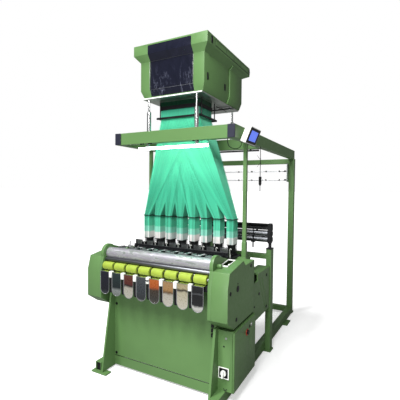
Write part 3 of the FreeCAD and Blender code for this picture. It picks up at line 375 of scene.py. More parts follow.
@dataclass(frozen=True)
class Cords:
    """Harness cords: mint down to the rings, then pale mint, then without dye at their ends; the mint is brighter
    around the lamp's height, which is painted light, and darker just under the comber board.

    Args:
        low: the height of the cords' lower ends, in millimetres.
        ring: the height of the rings.
        high: the height of the comber board.
    """

    name: str
    low: float
    ring: float
    high: float

    def build(self) -> bpy.types.Material:
        """The cords' material, which also reads each cord's own tone."""
        recipe = Recipe(self.name)
        ring = (self.ring - self.low) / (self.high - self.low)
        # Dye up the cords with painted light from the lamp: the mint is brighter from about 0.62 to 0.9 of the
        # height, then darker just under the comber board.
        dye_and_lamp_light = [(0.0, srgb(248, 238, 236)), (ring * 0.25, srgb(250, 240, 236)), (ring * 0.29, srgb(156, 228, 206)),
                (ring * 0.5, srgb(146, 226, 200)), (ring * 0.54, srgb(76, 204, 163)),
                (ring + 0.18, srgb(76, 214, 171)), (0.62, srgb(96, 224, 180)), (0.9, srgb(90, 224, 178)),
                (1.0, srgb(34, 150, 118))]
        dyed_and_lamp_lit = recipe.ramp(recipe.height(self.low, self.high), dye_and_lamp_light)
        tone = recipe.add("ShaderNodeAttribute")
        tone.attribute_name = "tone"
        shade = recipe.ramp(tone.outputs["Fac"], [(0.0, (0.3, 0.46, 0.44, 1.0)), (1.0, WHITE)])
        twist = recipe.noise(1.0, 2.0, 0.0, recipe.stretched((900.0, 900.0, 60.0)))
        return recipe.shade(Base_Color=recipe.blend(1.0, dyed_and_lamp_lit, shade, "MULTIPLY"),
                            Roughness=recipe.grey(recipe.noise(60.0), 0.5, 0.68),
                            Normal=recipe.bump(twist, 0.3, 0.4), Sheen_Weight=0.25)


@dataclass(frozen=True)
class Lit:
    """A surface that gives light, with a faint unevenness."""

    name: str
    colour: Colour
    strength: float

    def build(self) -> bpy.types.Material:
        """The lit surface's material."""
        recipe = Recipe(self.name)
        dim, full = (srgb(*self.colour, gain=gain) for gain in (0.9, 1.0))
        glow = recipe.ramp(recipe.noise(18.0, 3.0), [(0.3, dim), (0.7, full)])
        return recipe.shade(Base_Color=glow, Emission_Color=glow, Emission_Strength=self.strength,
                            Roughness=0.35)


@dataclass(frozen=True)
class ReflectionBands:
    """A polished guide with reflections of its surroundings painted into its colour, in bands down its length.

    Args:
        bands: where each colour stands, from 0 at the top to 1 at the foot.
        low: the height of the guide's foot, in millimetres.
        high: the height of its top.
    """

    name: str
    bands: tuple[tuple[float, Colour], ...]
    low: float
    high: float
    roughness: float = 0.22
    shade: float = 0.6
    wander: float = 0.12

    def build(self) -> bpy.types.Material:
        """The tape guide's material: bands of painted reflection, with fine ribs."""
        recipe = Recipe(self.name)
        drop = recipe.height(self.high, self.low)
        wavy = recipe.math("MULTIPLY_ADD", recipe.noise(24.0, 1.0, 0.6), self.wander, drop)
        place = recipe.math("SUBTRACT", wavy, self.wander / 2)
        ribs = recipe.noise(1.0, 2.0, 0.0, recipe.stretched((500.0, 60.0, 900.0)))
        # The base colour is painted reflection: each band stands for what the polished guide mirrors.
        return recipe.shade(
            Base_Color=recipe.ramp(place, [(share, srgb(*colour, gain=self.shade))
                                           for share, colour in self.bands]),
            Roughness=recipe.grey(recipe.noise(70.0), self.roughness, self.roughness + 0.16),
            Normal=recipe.bump(ribs, 0.12, 0.2), Metallic=0.25, Coat_Weight=0.3, Coat_Roughness=0.12)


class Finishes:
    """Every finish on the loom, each built once."""

    def __init__(self) -> None:
        """Builds the finishes."""
        cords = SPACE.box("harness_cords")
        self.sage = Paint("sage_paint", (90, 125, 74)).build()
        self.deep_green = Paint("deep_green_paint", (52, 82, 52)).build()
        self.black_paint = Paint("black_paint", (20, 21, 24), 0.4).build()
        self.white_paint = Paint("white_paint", (236, 238, 234), 0.35, 0.02).build()
        self.navy = Moulded("navy_end_cap", (36, 38, 52), 0.5).build()
        self.black = Moulded("black_plastic", (14, 14, 17), 0.42).build()
        self.white = Moulded("white_plastic", (232, 234, 228), 0.38).build()
        self.lime = Moulded("lime_rubber", (144, 164, 58), 0.55, 420.0, 0.5).build()
        self.belt = Moulded("belt_rubber", (30, 30, 30), 0.75, 300.0, 0.6).build()
        self.red = Moulded("red_plastic", (176, 52, 34), 0.4).build()
        self.glass = Glazing("smoked_glass").build()
        self.foil = Foil("creased_foil").build()
        self.steel = Metal("ground_steel", (196, 198, 200), 0.34).build()
        self.dark_steel = Metal("dark_steel", (118, 120, 124), 0.4).build()
        self.chrome = Metal("polished_steel", (226, 228, 230), 0.14, (30.0, 30.0, 8.0)).build()
        self.iron = Metal("cast_iron", (62, 64, 66), 0.55, (60.0, 60.0, 60.0)).build()
        self.aluminium = Metal("satin_aluminium", (206, 208, 206), 0.36).build()
        self.sleeve = Metal("bright_sleeve", (232, 234, 234), 0.22, (160.0, 160.0, 2.0)).build()
        self.chute = Metal("streaked_chute", (40, 84, 62), 0.32, (90.0, 90.0, 4.0)).build()
        self.cord = Cords("harness_cord", cords[0].z, SPACE.box("harness_rings")[1].z, cords[1].z).build()
        self.lamp = Lit("lamp_diffuser", (236, 255, 246), 22.0).build()
        self.screen = Lit("screen", (96, 124, 240), 0.75).build()


# ---------------------------------------------------------------- shapes

SMOOTH_LIMIT = math.radians(38)
SHARP_LIMIT = math.radians(30)


def facing(direction: Point | Vector, axis: str = "Z") -> Matrix:
    """The turn that points an object's axis along a direction."""
    return Vector(direction).to_track_quat(axis, "Y").to_matrix().to_4x4()


def stand(name: str, data: bpy.types.ID) -> bpy.types.Object:
    """A new object in the scene."""
    made = bpy.data.objects.new(name, data)
    bpy.context.scene.collection.objects.link(made)
    return made


def pour(source: bmesh.types.BMesh, target: bmesh.types.BMesh) -> None:
    """Adds one mesh in the making to another, and frees the first."""
    mesh = bpy.data.meshes.new("poured")
    source.to_mesh(mesh)
    source.free()
    target.from_mesh(mesh)
    bpy.data.meshes.remove(mesh)


def soften(part: bmesh.types.BMesh, finish: int) -> None:
    """Gives every face its finish, and smooth shading where it bends gently into a neighbour."""
    for face in part.faces:
        face.material_index = finish
        face.smooth = any(0.01 < edge.calc_face_angle(0.0) < SMOOTH_LIMIT for edge in face.edges
                          if len(edge.link_faces) == 2)


def round_edges(part: bmesh.types.BMesh, radius: float, steps: int) -> None:
    """Rounds a mesh's sharp edges and marks the new faces smooth."""
    sharp = [e for e in part.edges if len(e.link_faces) == 2 and e.calc_face_angle(0.0) > SHARP_LIMIT]
    made = bmesh.ops.bevel(part, geom=sharp, offset=radius, offset_type="OFFSET", segments=steps, profile=0.5,
                           affect="EDGES", material=-1, clamp_overlap=True)
    for face in made["faces"]:
        face.smooth = True


def pushed(outline: Sequence[Point], push: Point) -> bmesh.types.BMesh:
    """A flat outline pushed along a direction, as a closed mesh."""
    part = bmesh.new()
    face = part.faces.new([part.verts.new(point) for point in outline])
    grown = bmesh.ops.extrude_face_region(part, geom=[face])["geom"]
    bmesh.ops.translate(part, verts=[v for v in grown if isinstance(v, bmesh.types.BMVert)], vec=push)
    return part


def smooth_curve(name: str, points: Sequence[Vector], radius: float, steps: int = 4) -> bpy.types.Curve:
    """A NURBS curve with these control points and a round section."""
    curve = bpy.data.curves.new(name, "CURVE")
    curve.dimensions = "3D"
    curve.bevel_depth = radius
    curve.bevel_resolution = steps
    curve.resolution_u = 8
    spline = curve.splines.new("NURBS")
    spline.points.add(len(points) - 1)
    for target, point in zip(spline.points, points):
        target.co = (*point, 1.0)
    spline.order_u = 3
    spline.use_endpoint_u = True
    return curve


def settle(piece: bpy.types.Object, body: Body | str,
           replaces: Sequence[str] = ()) -> bpy.types.Object:
    """Rides a finished object on its body and hides the CAD nodes it stands for."""
    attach(piece, body.value if isinstance(body, Body) else body)
    if replaces:
        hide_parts(*replaces)
    return piece


class Shape:
    """A mesh in the making, in loom millimetres. Its calls return it, so that they can be chained."""

    def __init__(self) -> None:
        """Starts an empty mesh."""
        self.bm = bmesh.new()

    def take(self, part: bmesh.types.BMesh, finish: int = 0, bevel: float = 0.0, steps: int = 2) -> "Shape":
        """Adds a part after it has its rounded edges, smooth flags and finish.

        Args:
            part: the part's own mesh, which is freed.
            finish: the number of its finish among the piece's finishes.
            bevel: the radius of its sharp edges.
            steps: the number of faces across each rounded edge.
        """
        soften(part, finish)
        if bevel:
            round_edges(part, bevel, steps)
        bmesh.ops.recalc_face_normals(part, faces=part.faces)
        pour(part, self.bm)
        return self

    def block(self, x: Span, y: Span, z: Span, bevel: float = 0.0, finish: int = 0, steps: int = 2) -> "Shape":
        """A box from its three spans, with rounded edges."""
        part = bmesh.new()
        bmesh.ops.create_cube(part, size=1.0)
        size = Vector((x[1] - x[0], y[1] - y[0], z[1] - z[0]))
        place = Matrix.Translation(Vector((sum(x), sum(y), sum(z))) / 2) @ Matrix.Diagonal((*size, 1.0))
        bmesh.ops.transform(part, matrix=place, verts=part.verts)
        return self.take(part, finish, bevel, steps)

    def rod(self, start: Point, end: Point, radius: float, sides: int = 20, bevel: float = 0.0,
            finish: int = 0) -> "Shape":
        """A round bar between two points."""
        part = bmesh.new()
        first, last = Vector(start), Vector(end)
        bmesh.ops.create_cone(part, cap_ends=True, segments=sides, radius1=radius, radius2=radius,
                              depth=(last - first).length)
        place = Matrix.Translation((first + last) / 2) @ facing(last - first)
        bmesh.ops.transform(part, matrix=place, verts=part.verts)
        return self.take(part, finish, bevel)

    def stud(self, x: Span, y: float, z: float, radius: float, **look: float) -> "Shape":
        """A round bar that lies across the loom."""
        return self.rod((x[0], y, z), (x[1], y, z), radius, **look)

    def post(self, x: float, y: float, z: Span, radius: float, **look: float) -> "Shape":
        """A round bar that stands upright."""
        return self.rod((x, y, z[0]), (x, y, z[1]), radius, **look)

    def plate(self, outline: Sequence[Point], push: Point, bevel: float = 0.0) -> "Shape":
        """A flat outline pushed along a direction."""
        return self.take(pushed(outline, push), 0, bevel)

    def lathe(self, profile: Sequence[Span], centre: Point, axis: Point, steps: int = 32) -> "Shape":
        """A turned shape: (radius, distance along the axis) points spun about the axis."""
        part = bmesh.new()
        line = [part.verts.new((radius, 0.0, along)) for radius, along in profile]
        edges = [part.edges.new(pair) for pair in zip(line, line[1:])]
        bmesh.ops.spin(part, geom=line + edges, cent=(0, 0, 0), axis=(0, 0, 1), angle=math.tau,
                       steps=steps, use_merge=True)
        bmesh.ops.remove_doubles(part, verts=part.verts, dist=0.01)
        bmesh.ops.transform(part, matrix=Matrix.Translation(centre) @ facing(axis), verts=part.verts)
        return self.take(part)

    def wire(self, points: Sequence[Point], radius: float, finish: int = 0) -> "Shape":
        """A thin round wire on a smooth line through its control points."""
        curve = smooth_curve("wire", [Vector(point) for point in points], radius, 3)
        curve.use_fill_caps = True
        holder = bpy.data.objects.new("wire", curve)
        mesh = bpy.data.meshes.new_from_object(holder)
        part = bmesh.new()
        part.from_mesh(mesh)
        bmesh.ops.remove_doubles(part, verts=part.verts, dist=0.01)
        bpy.data.objects.remove(holder)
        bpy.data.curves.remove(curve)
        bpy.data.meshes.remove(mesh)
        return self.take(part, finish)

    def strand(self, points: Sequence[Vector], radius: float, sides: int = 3) -> list[bmesh.types.BMVert]:
        """A cord of a few flat sides along straight runs.

        Returns:
            The cord's vertices.
        """
        ring = bmesh.ops.create_circle(self.bm, cap_ends=False, segments=sides, radius=radius)["verts"]
        bmesh.ops.translate(self.bm, verts=ring, vec=points[0])
        edges = list({edge for vertex in ring for edge in vertex.link_edges})
        made = list(ring)
        for here, there in zip(points, points[1:]):
            grown = bmesh.ops.extrude_edge_only(self.bm, edges=edges)["geom"]
            ring = [g for g in grown if isinstance(g, bmesh.types.BMVert)]
            edges = [g for g in grown if isinstance(g, bmesh.types.BMEdge)]
            bmesh.ops.translate(self.bm, verts=ring, vec=there - here)
            made += ring
        return made

    def lanes(self, places: Iterable[float]) -> "Shape":
        """Repeats the whole shape at these places across the loom."""
        unit = bpy.data.meshes.new("unit")
        self.bm.to_mesh(unit)
        self.bm.clear()
        for x in places:
            start = len(self.bm.verts)
            self.bm.from_mesh(unit)
            self.bm.verts.ensure_lookup_table()
            bmesh.ops.translate(self.bm, verts=self.bm.verts[start:], vec=(x, 0.0, 0.0))
        bpy.data.meshes.remove(unit)
        return self

    def both_sides(self) -> "Shape":
        """Adds the shape's twin on the other side of the loom's middle."""
        bmesh.ops.mirror(self.bm, geom=self.bm.verts[:] + self.bm.edges[:] + self.bm.faces[:],
                         matrix=Matrix.Identity(4), merge_dist=-1.0, axis="X")
        bmesh.ops.recalc_face_normals(self.bm, faces=self.bm.faces)
        return self

    def turned(self, matrix: Matrix) -> "Shape":
        """Moves or turns everything so far."""
        bmesh.ops.transform(self.bm, matrix=matrix, verts=self.bm.verts)
        return self

    def refinish(self, finish: int, test: Callable[[Vector], bool]) -> "Shape":
        """Gives another finish to the faces whose middle passes a test."""
        for face in self.bm.faces:
            if test(face.calc_center_median()):
                face.material_index = finish
        return self

    def publish(self, name: str, body: Body | str, slot: Slot, finishes: Sequence[bpy.types.Material],
                replaces: Sequence[str] = ()) -> bpy.types.Object:
        """Makes the shape a piece of the loom, in the row frame, riding on its body."""
        self.turned(SPACE.matrix())
        mesh = bpy.data.meshes.new(name)
        self.bm.to_mesh(mesh)
        self.bm.free()
        for finish in finishes:
            mesh.materials.append(finish)
        return settle(stand(name, mesh), body, replaces)


def from_node(node: str, bevel: float) -> Shape:
    """A CAD node's own shape with its sharp edges rounded as the real sheet or casting has them."""
    shape = Shape()
    shape.bm.from_mesh(frame["nodes"][node].data)
    shape.turned(SPACE.matrix().inverted())
    bmesh.ops.remove_doubles(shape.bm, verts=shape.bm.verts, dist=0.005)
    bmesh.ops.dissolve_limit(shape.bm, angle_limit=math.radians(0.6), use_dissolve_boundaries=False,
                             verts=shape.bm.verts, edges=shape.bm.edges)
    soften(shape.bm, 0)
    round_edges(shape.bm, bevel, 2)
    return shape


def body_of(node: str) -> str:
    """The name of the body that a CAD node rides on."""
    return frame["nodes"][node]["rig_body"]


def dress(node: str, finish: bpy.types.Material) -> None:
    """Gives a CAD node that stays its finish."""
    materials = frame["nodes"][node].data.materials
    materials.clear()
    materials.append(finish)


# ---------------------------------------------------------------- plates, beams and castings

@dataclass
class Castings:
    """The CAD pieces whose own shape shows, each with rounded edges and its finish."""

    finishes: Finishes
    post_cap: float = 65.0
    base_plate_rise: float = 41.0
    sage_bevels: dict[str, float] = field(default_factory=lambda: {
        "side_frame_left": 2.5, "side_frame_right": 2.5, "housing_left": 1.6, "housing_right": 1.6,
        "leg_plates": 2.0, "front_panel": 0.8, "kick_panel": 0.8, "base_rails": 1.6, "floor_ties": 2.0,
        "foot_plates": 1.5, "cross_beams": 1.6, "side_beam_left": 1.6, "side_beam_right": 1.6,
        "rear_posts": 1.6, "mid_posts": 1.5, "rear_brackets": 1.5, "head_shell": 2.4, "cabinet_body": 1.0,
        "cabinet_door": 1.2, "display_bracket": 0.6})

    def build(self) -> None:
        """Builds the rounded copies, then finishes the CAD nodes that stay."""
        f = self.finishes
        for node, bevel in self.sage_bevels.items():
            from_node(node, bevel).publish(node + "_painted", body_of(node), Slot.SAGE, [f.sage], [node])
        self.posts()
        self.base_plate()
        plain = (
            (Slot.BLACK, f.navy, {"beam_end_caps": 2.5}),
            (Slot.WHITE, f.white, {"guide_sleeves": 1.0, "display_case": 1.2, "switch_knob": 1.2}),
            (Slot.GLASS, f.glass, {"head_window": 0.8}),
            (Slot.STEEL, f.steel, {"fell_plates": 0.8, "knife_frame_lower": 0.8, "knife_frame_upper": 0.8,
                                   "knitting_needle_bar": 0.8}),
            (Slot.BLACK, f.black, {"hook_modules": 1.0, "comber_board": 1.5, "harness_rings": 1.2}),
            (Slot.BLACK_PAINT, f.black_paint,
             {"guide_rail": 1.0, "guide_frame": 1.5, "rear_roller_frame": 1.5}),
            (Slot.IRON, f.iron, {"weaving_bed": 1.5, "motor_pulley": 1.5}),
            (Slot.RED, f.black, {"stop_button": 0.8}),
            (Slot.STEEL, f.dark_steel, {"press_roller": 1.0, "draw_off_shaft": 0.8, "feed_roller_lower": 1.5,
                                        "feed_roller_upper": 1.5, "main_shaft": 1.0}),
            (Slot.DARK_GREEN, f.deep_green, {"motor": 4.0}),
        )
        for slot, finish, bevels in plain:
            for node, bevel in bevels.items():
                from_node(node, bevel).publish(node + "_finished", body_of(node), slot, [finish], [node])
        stays = {"rubber_rollers": f.lime, "weft_needle_bar": f.steel, "drive_belt": f.belt,
                 "guide_rods": f.steel, "head_columns": f.sleeve}
        for node, finish in stays.items():
            dress(node, finish)

    def posts(self) -> None:
        """The rear roller posts, with black caps over green tubes."""
        f = self.finishes
        cap = SPACE.box("roller_posts")[1].z - self.post_cap
        shape = from_node("roller_posts", 1.5).refinish(1, lambda middle: middle.z > cap)
        finishes = [f.sage, f.black_paint]
        shape.publish("roller_posts_painted", Body.FRAME, Slot.SAGE, finishes, ["roller_posts"])

    def base_plate(self) -> None:
        """The head's white base plate with the green chute under it and steel rods above."""
        f = self.finishes
        plate = SPACE.box("head_base")[0].z + self.base_plate_rise
        shape = from_node("head_base", 1.0).refinish(1, lambda middle: middle.z < plate - 1.5)
        shape.refinish(2, lambda middle: middle.z > plate + 14.0)
        finishes = [f.aluminium, f.chute, f.steel]
        shape.publish("head_base_finished", Body.FRAME, Slot.ALUMINIUM, finishes, ["head_base"])


# ---------------------------------------------------------------- jacquard head

@dataclass
class JacquardHead:
    """Latches, rear covers, the embossed panels and the window's edges on the head."""

    finishes: Finishes
    wall: float = 309.0
    cap_reach: float = 46.0
    seam_y: float = 644.0
    skin: float = 12.0
    window: Span = (64.0, 300.0)
    panel_y: Span = (267.0, 995.0)
    panel_seams: Point = (470.0, 640.0, 810.0)
    bar_y: float = 724.0

    def build(self) -> None:
        """Builds the head's details around the CAD housing."""
        f = self.finishes
        low, high = SPACE.box("head_shell")
        self.latches(low.z)
        self.rear_covers(low.z)
        self.panel(high.z)
        rim = Shape().block(about(0.0, 290.0), (160.0, 164.6), (low.z - 11.0, low.z - 1.0), 1.2)
        rim.publish("head_base_front_rim", Body.FRAME, Slot.WHITE, [f.white_paint])
        foot, top = (low.z + z for z in self.window)
        for side, name in zip(SIDES, ("left", "right")):
            edge = Shape().block(about(side * 211.25, 0.75), (155.5, 161.0), (foot, top), 0.6)
            edge.publish("window_edge_" + name, Body.FRAME, Slot.SAGE, [f.aluminium])
        bends = Shape().stud(about(0.0, 208.0), 160.4, top + 3.0, 1.4, sides=8)
        bends.stud(about(0.0, 208.0), 160.8, foot + 1.0, 1.2, sides=8)
        bends.publish("window_bend_lines", Body.WINDOW, Slot.STEEL, [f.dark_steel])
        self.tie_bar()

    def latches(self, floor: float) -> None:
        """Black oval quarter-turn latches on the cap and the side walls."""
        cap = self.wall + self.cap_reach
        shape = Shape()
        for x, y, rise in ((cap, 196.0, 395.0), (cap, 1038.0, 395.0), (self.wall, 219.0, 124.0),
                           (self.wall, 555.0, 124.0)):
            z = floor + rise
            for end in SIDES:
                shape.stud((x - 0.5, x + 4.0), y, z + end * 18.0, 12.0, bevel=1.2, sides=24)
            shape.block((x - 0.5, x + 4.0), about(y, 12.0), about(z, 18.0), 1.2)
            shape.stud((x + 3.0, x + 6.5), y, z, 8.0, bevel=0.8)
        shape.both_sides().publish("head_latches", Body.FRAME, Slot.BLACK, [self.finishes.black])

    def rear_covers(self, floor: float) -> None:
        """The pressed covers that wrap the rear half of the side walls."""
        inner = [(self.wall - 25.0, 1.0), (self.wall, 63.0), (self.wall, 303.0), (self.wall + 30.0, 337.0)]
        outer = [(x + self.skin, z) for x, z in reversed(inner)]
        outline = [(x, self.seam_y, floor + z) for x, z in inner + outer]
        shape = Shape().plate(outline, (0.0, 290.0, 0.0), 2.5)
        shape.both_sides().publish("head_rear_covers", Body.FRAME, Slot.SAGE, [self.finishes.sage])

    def panel(self, top: float) -> None:
        """The long embossed panel along each side of the cap, parted by seams; black strips on the seams and a
        black border around the panel are painted shadow.
        """
        cap = self.wall + self.cap_reach
        z = (top - 61.0, top - 22.0)
        shape = Shape().block((cap - 1.0, cap + 3.0), self.panel_y, z, 2.0)
        # Black strips on the seams: painted shadow in their grooves.
        for seam in self.panel_seams:
            shape.block((cap + 2.5, cap + 3.8), about(seam, 2.0), z, 0.4, 1)
        # A black border just behind the panel: a painted shadow line around its edge.
        shape.block((cap - 0.5, cap + 0.8), (self.panel_y[0] - 7.0, self.panel_y[1] + 7.0),
                    (z[0] - 6.0, z[1] + 6.0), 0.3, 1)
        finishes = [self.finishes.sage, self.finishes.black_paint]
        shape.both_sides().publish("head_cap_panels", Body.FRAME, Slot.SAGE, finishes)

    def tie_bar(self) -> None:
        """The black bar on three short rods under the base plate, with a thin rod across it."""
        under = SPACE.box("head_base")[0].z + Castings.base_plate_rise
        bar = Shape().block((110.0, 320.0), about(self.bar_y, 8.0), (under - 20.0, under - 8.0), 1.5)
        for x in (130.0, 205.0, 280.0):
            bar.post(x, self.bar_y, (under - 10.0, under), 4.0, sides=12)
        bar.rod((205.0, 600.0, under - 12.0), (205.0, 830.0, under - 12.0), 3.0, sides=12)
        bar.publish("head_tie_bar", Body.FRAME, Slot.BLACK_PAINT, [self.finishes.black_paint])


# ---------------------------------------------------------------- harness

@dataclass
class Harness:
    """Eight fans of cords that gather from the comber board into eight bundles.

    The fans start from one board, so each lies in its own thin layer and none shares a face.
    """

    finishes: Finishes
    columns: int = 24
    rows: int = 10
    thread: float = 1.25
    groups: int = 9
    layer: float = 1.6
    board_rim: float = 5.0
    core_inset: float = 2.2
    core_tone: float = 0.6
    bundle: Span = (64.0, 100.0)
    straight: float = 75.0
    springs_across: int = 7
    springs_along: int = 5

    def build(self) -> None:
        """Builds the cords and the springs that pull them down."""
        self.cords()
        self.springs()

    def cords(self) -> None:
        """Single cords around a packed core, each with its own tone."""
        low, high = SPACE.box("harness_cords")
        board = SPACE.box("comber_board")
        ring = SPACE.box("harness_rings")
        middle_y = (ring[0].y + ring[1].y) / 2
        draw = random.Random(8)
        shape = Shape()
        tone = shape.bm.verts.layers.float.new("tone")
        for order, lane in enumerate(sorted(LANES, key=lambda place: -abs(place + 1.0))):
            depth = self.board_rim + self.thread + order * self.layer
            top = ((board[0].x + depth, board[1].x - depth), (board[0].y + depth, board[1].y - depth))
            foot = (about(lane, self.bundle[0] / 2 - self.thread),
                    about(middle_y, self.bundle[1] / 2 - self.thread))
            self.core(shape, tone, top, foot, (high.z, ring[1].z, low.z))
            tones = [draw.choice((0.05, 0.4, 0.75, 1.0)) for _ in range(self.groups + 1)]
            for width, length in self.edge_places(draw):
                start = Vector((mix(top[0], width), mix(top[1], length), high.z))
                end = Vector((mix(foot[0], width), mix(foot[1], length), low.z))
                knee = Vector((end.x, end.y, ring[1].z))
                path = [start, start - Vector((0, 0, self.straight)), knee, end]
                shade = tones[int(width * self.groups)] * draw.uniform(0.75, 1.0)
                for vertex in shape.strand(path, self.thread):
                    vertex[tone] = shade
        shape.publish("harness_strands", Body.FRAME, Slot.CORD, [self.finishes.cord], ["harness_cords"])

    def edge_places(self, draw: random.Random) -> list[Span]:
        """Where the outer cords stand in their bundle, as shares of its width and depth."""
        places = []
        for i in range(self.columns):
            share = min(1.0, max(0.0, (i + draw.uniform(-0.3, 0.3)) / (self.columns - 1)))
            places += [(share, 0.0), (share, 1.0)]
        for j in range(1, self.rows - 1):
            places += [(0.0, j / (self.rows - 1)), (1.0, j / (self.rows - 1))]
        return places

    def core(self, shape: Shape, tone: bmesh.types.BMLayerItem, board: tuple[Span, Span],
             bundle: tuple[Span, Span], heights: Point) -> None:
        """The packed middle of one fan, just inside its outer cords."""
        top, ring, end = heights
        made = bmesh.ops.create_grid(shape.bm, x_segments=1, y_segments=1, size=0.5)["verts"]
        faces = [face for face in shape.bm.faces if all(v in made for v in face.verts)]
        every = list(made)
        fit(made, (end, bundle), self.core_inset)
        for level in ((ring, bundle), (top - self.straight, board), (top, board)):
            grown = bmesh.ops.extrude_face_region(shape.bm, geom=faces)["geom"]
            corners = [g for g in grown if isinstance(g, bmesh.types.BMVert)]
            faces = [g for g in grown if isinstance(g, bmesh.types.BMFace)]
            fit(corners, level, self.core_inset)
            every += corners
        for vertex in every:
            vertex[tone] = self.core_tone

    def springs(self) -> None:
        """Black return springs between thin plates, under each bundle."""
        low, high = SPACE.box("heald_springs")
        middle = (low.y + high.y) / 2
        wide, deep = (size / 2 - 2.0 for size in self.bundle)
        shape = Shape()
        for inset, z, bevel in ((0.0, (high.z - 7.0, high.z), 1.0), (0.0, (low.z, low.z + 14.0), 1.5),
                                (3.0, (low.z + 44.0, low.z + 49.0), 0.8),
                                (12.0, (low.z + 13.0, high.z - 6.0), 1.0)):
            shape.block(about(0.0, wide - inset), about(middle, deep - inset), z, bevel)
        for i in range(self.springs_across):
            for j in range(self.springs_along):
                if i in (0, self.springs_across - 1) or j in (0, self.springs_along - 1):
                    x = mix(about(0.0, wide - 4.0), i / (self.springs_across - 1))
                    y = mix(about(middle, deep - 4.0), j / (self.springs_along - 1))
                    shape.post(x, y, (low.z + 12.0, high.z - 5.0), 2.4, sides=6)
        shape.lanes(LANES).publish("heald_return_springs", Body.FRAME, Slot.BLACK, [self.finishes.black],
                                   ["heald_springs"])


def fit(corners: Sequence[bmesh.types.BMVert], level: tuple[float, tuple[Span, Span]], inset: float) -> None:
    """Moves a rectangle's four corners to a level's rectangle, in from its edges."""
    z, (x, y) = level
    centre = sum((v.co for v in corners), Vector()) / len(corners)
    for vertex in corners:
        side = (1 if vertex.co.x > centre.x else -1, 1 if vertex.co.y > centre.y else -1)
        vertex.co = (sum(x) / 2 + side[0] * ((x[1] - x[0]) / 2 - inset),
                     sum(y) / 2 + side[1] * ((y[1] - y[0]) / 2 - inset), z)


# ---------------------------------------------------------------- front of the loom

@dataclass
class FrontRollers:
    """The foil-covered take-up roller and the collars between the rubber rollers."""

    finishes: Finishes
    crease: float = 0.6
    fold: Point = (22.0, 22.0, 60.0)
    rings: int = 150
    clearance: float = 4.0
    journal: float = 15.0

    def build(self) -> None:
        """Builds the rollers' visible surfaces."""
        self.take_up()
        collar = Shape().stud(about(0.0, 6.5), *SPACE.axis("draw_off_shaft"), 19.0, bevel=1.5)
        collar.lanes(GAPS).publish("draw_off_collars", Body.DRAW_OFF, Slot.BLACK, [self.finishes.black])

    def take_up(self) -> None:
        """The large roller: a creased sleeve over a plain core with two journals."""
        f = self.finishes
        low, high = SPACE.box("take_up_roller")
        axis = SPACE.axis("take_up_roller")
        radius = (high.z - low.z) / 2
        inside, outside = (corner.x for corner in SPACE.box("side_frame_right"))
        sleeve = inside - self.clearance
        part = bmesh.new()
        bmesh.ops.create_cone(part, cap_ends=True, segments=72, radius1=radius, radius2=radius,
                              depth=2 * sleeve)
        along = [e for e in part.edges if abs(e.verts[0].co.z - e.verts[1].co.z) > 1.0]
        bmesh.ops.subdivide_edges(part, edges=along, cuts=self.rings, use_grid_fill=True)
        for vertex in part.verts:
            inwards = Vector((vertex.co.x, vertex.co.y, 0.0)).normalized()
            place = Vector(c / fold for c, fold in zip(vertex.co, self.fold))
            waves = 0.55 + 0.5 * noise.noise(place) + 0.25 * noise.noise(place * 3.1)
            vertex.co -= inwards * self.crease * waves
        turn = Matrix.Translation((0.0, *axis)) @ Matrix.Rotation(math.radians(90), 4, "Y")
        bmesh.ops.transform(part, matrix=turn, verts=part.verts)
        shape = Shape().take(part)
        for side in SIDES:
            shape.stud((side * sleeve, side * outside), *axis, self.journal, finish=1)
            shape.stud((side * outside, side * high.x), *axis, self.journal, finish=2, bevel=3.0)
        finishes = [f.foil, f.dark_steel, f.sage]
        shape.publish("take_up_foil", Body.TAKE_UP, Slot.FOIL, finishes, ["take_up_roller"])


# Painted reflections on the eight polished guides: for each guide, its colours from the top (0) to the foot (1).
BEIGE, GREY, REFLECTED_DARK = (196, 190, 176), (150, 152, 152), (18, 18, 22)
GUIDE_REFLECTION_BANDS = (
    ((0.0, (26, 28, 46)), (0.8, (14, 15, 30)), (1.0, (70, 74, 82))),
    ((0.0, (40, 60, 60)), (0.62, (22, 36, 40)), (0.74, (150, 156, 154)), (1.0, (128, 134, 130))),
    ((0.0, (112, 62, 44)), (0.38, (96, 40, 34)), (0.46, (40, 34, 32)), (0.56, BEIGE), (1.0, (206, 204, 192))),
    ((0.0, (78, 84, 88)), (0.5, (62, 68, 74)), (0.9, (50, 54, 58)), (1.0, GREY)),
    ((0.0, (206, 112, 48)), (0.34, (190, 92, 36)), (0.46, (70, 58, 46)), (0.8, (62, 60, 56)),
     (1.0, (96, 92, 84))),
    ((0.0, (178, 146, 104)), (0.34, (184, 142, 92)), (0.46, (110, 84, 54)), (0.54, BEIGE),
     (1.0, (214, 210, 196))),
    ((0.0, (186, 172, 132)), (0.18, (190, 178, 140)), (0.26, (36, 28, 24)), (0.34, (196, 188, 160)),
     (1.0, (214, 208, 192))),
    ((0.0, (34, 36, 40)), (0.26, REFLECTED_DARK), (0.3, (90, 92, 96)), (0.36, REFLECTED_DARK), (0.74, (28, 28, 32)),
     (0.84, (220, 220, 214)), (1.0, (180, 178, 170))),
)


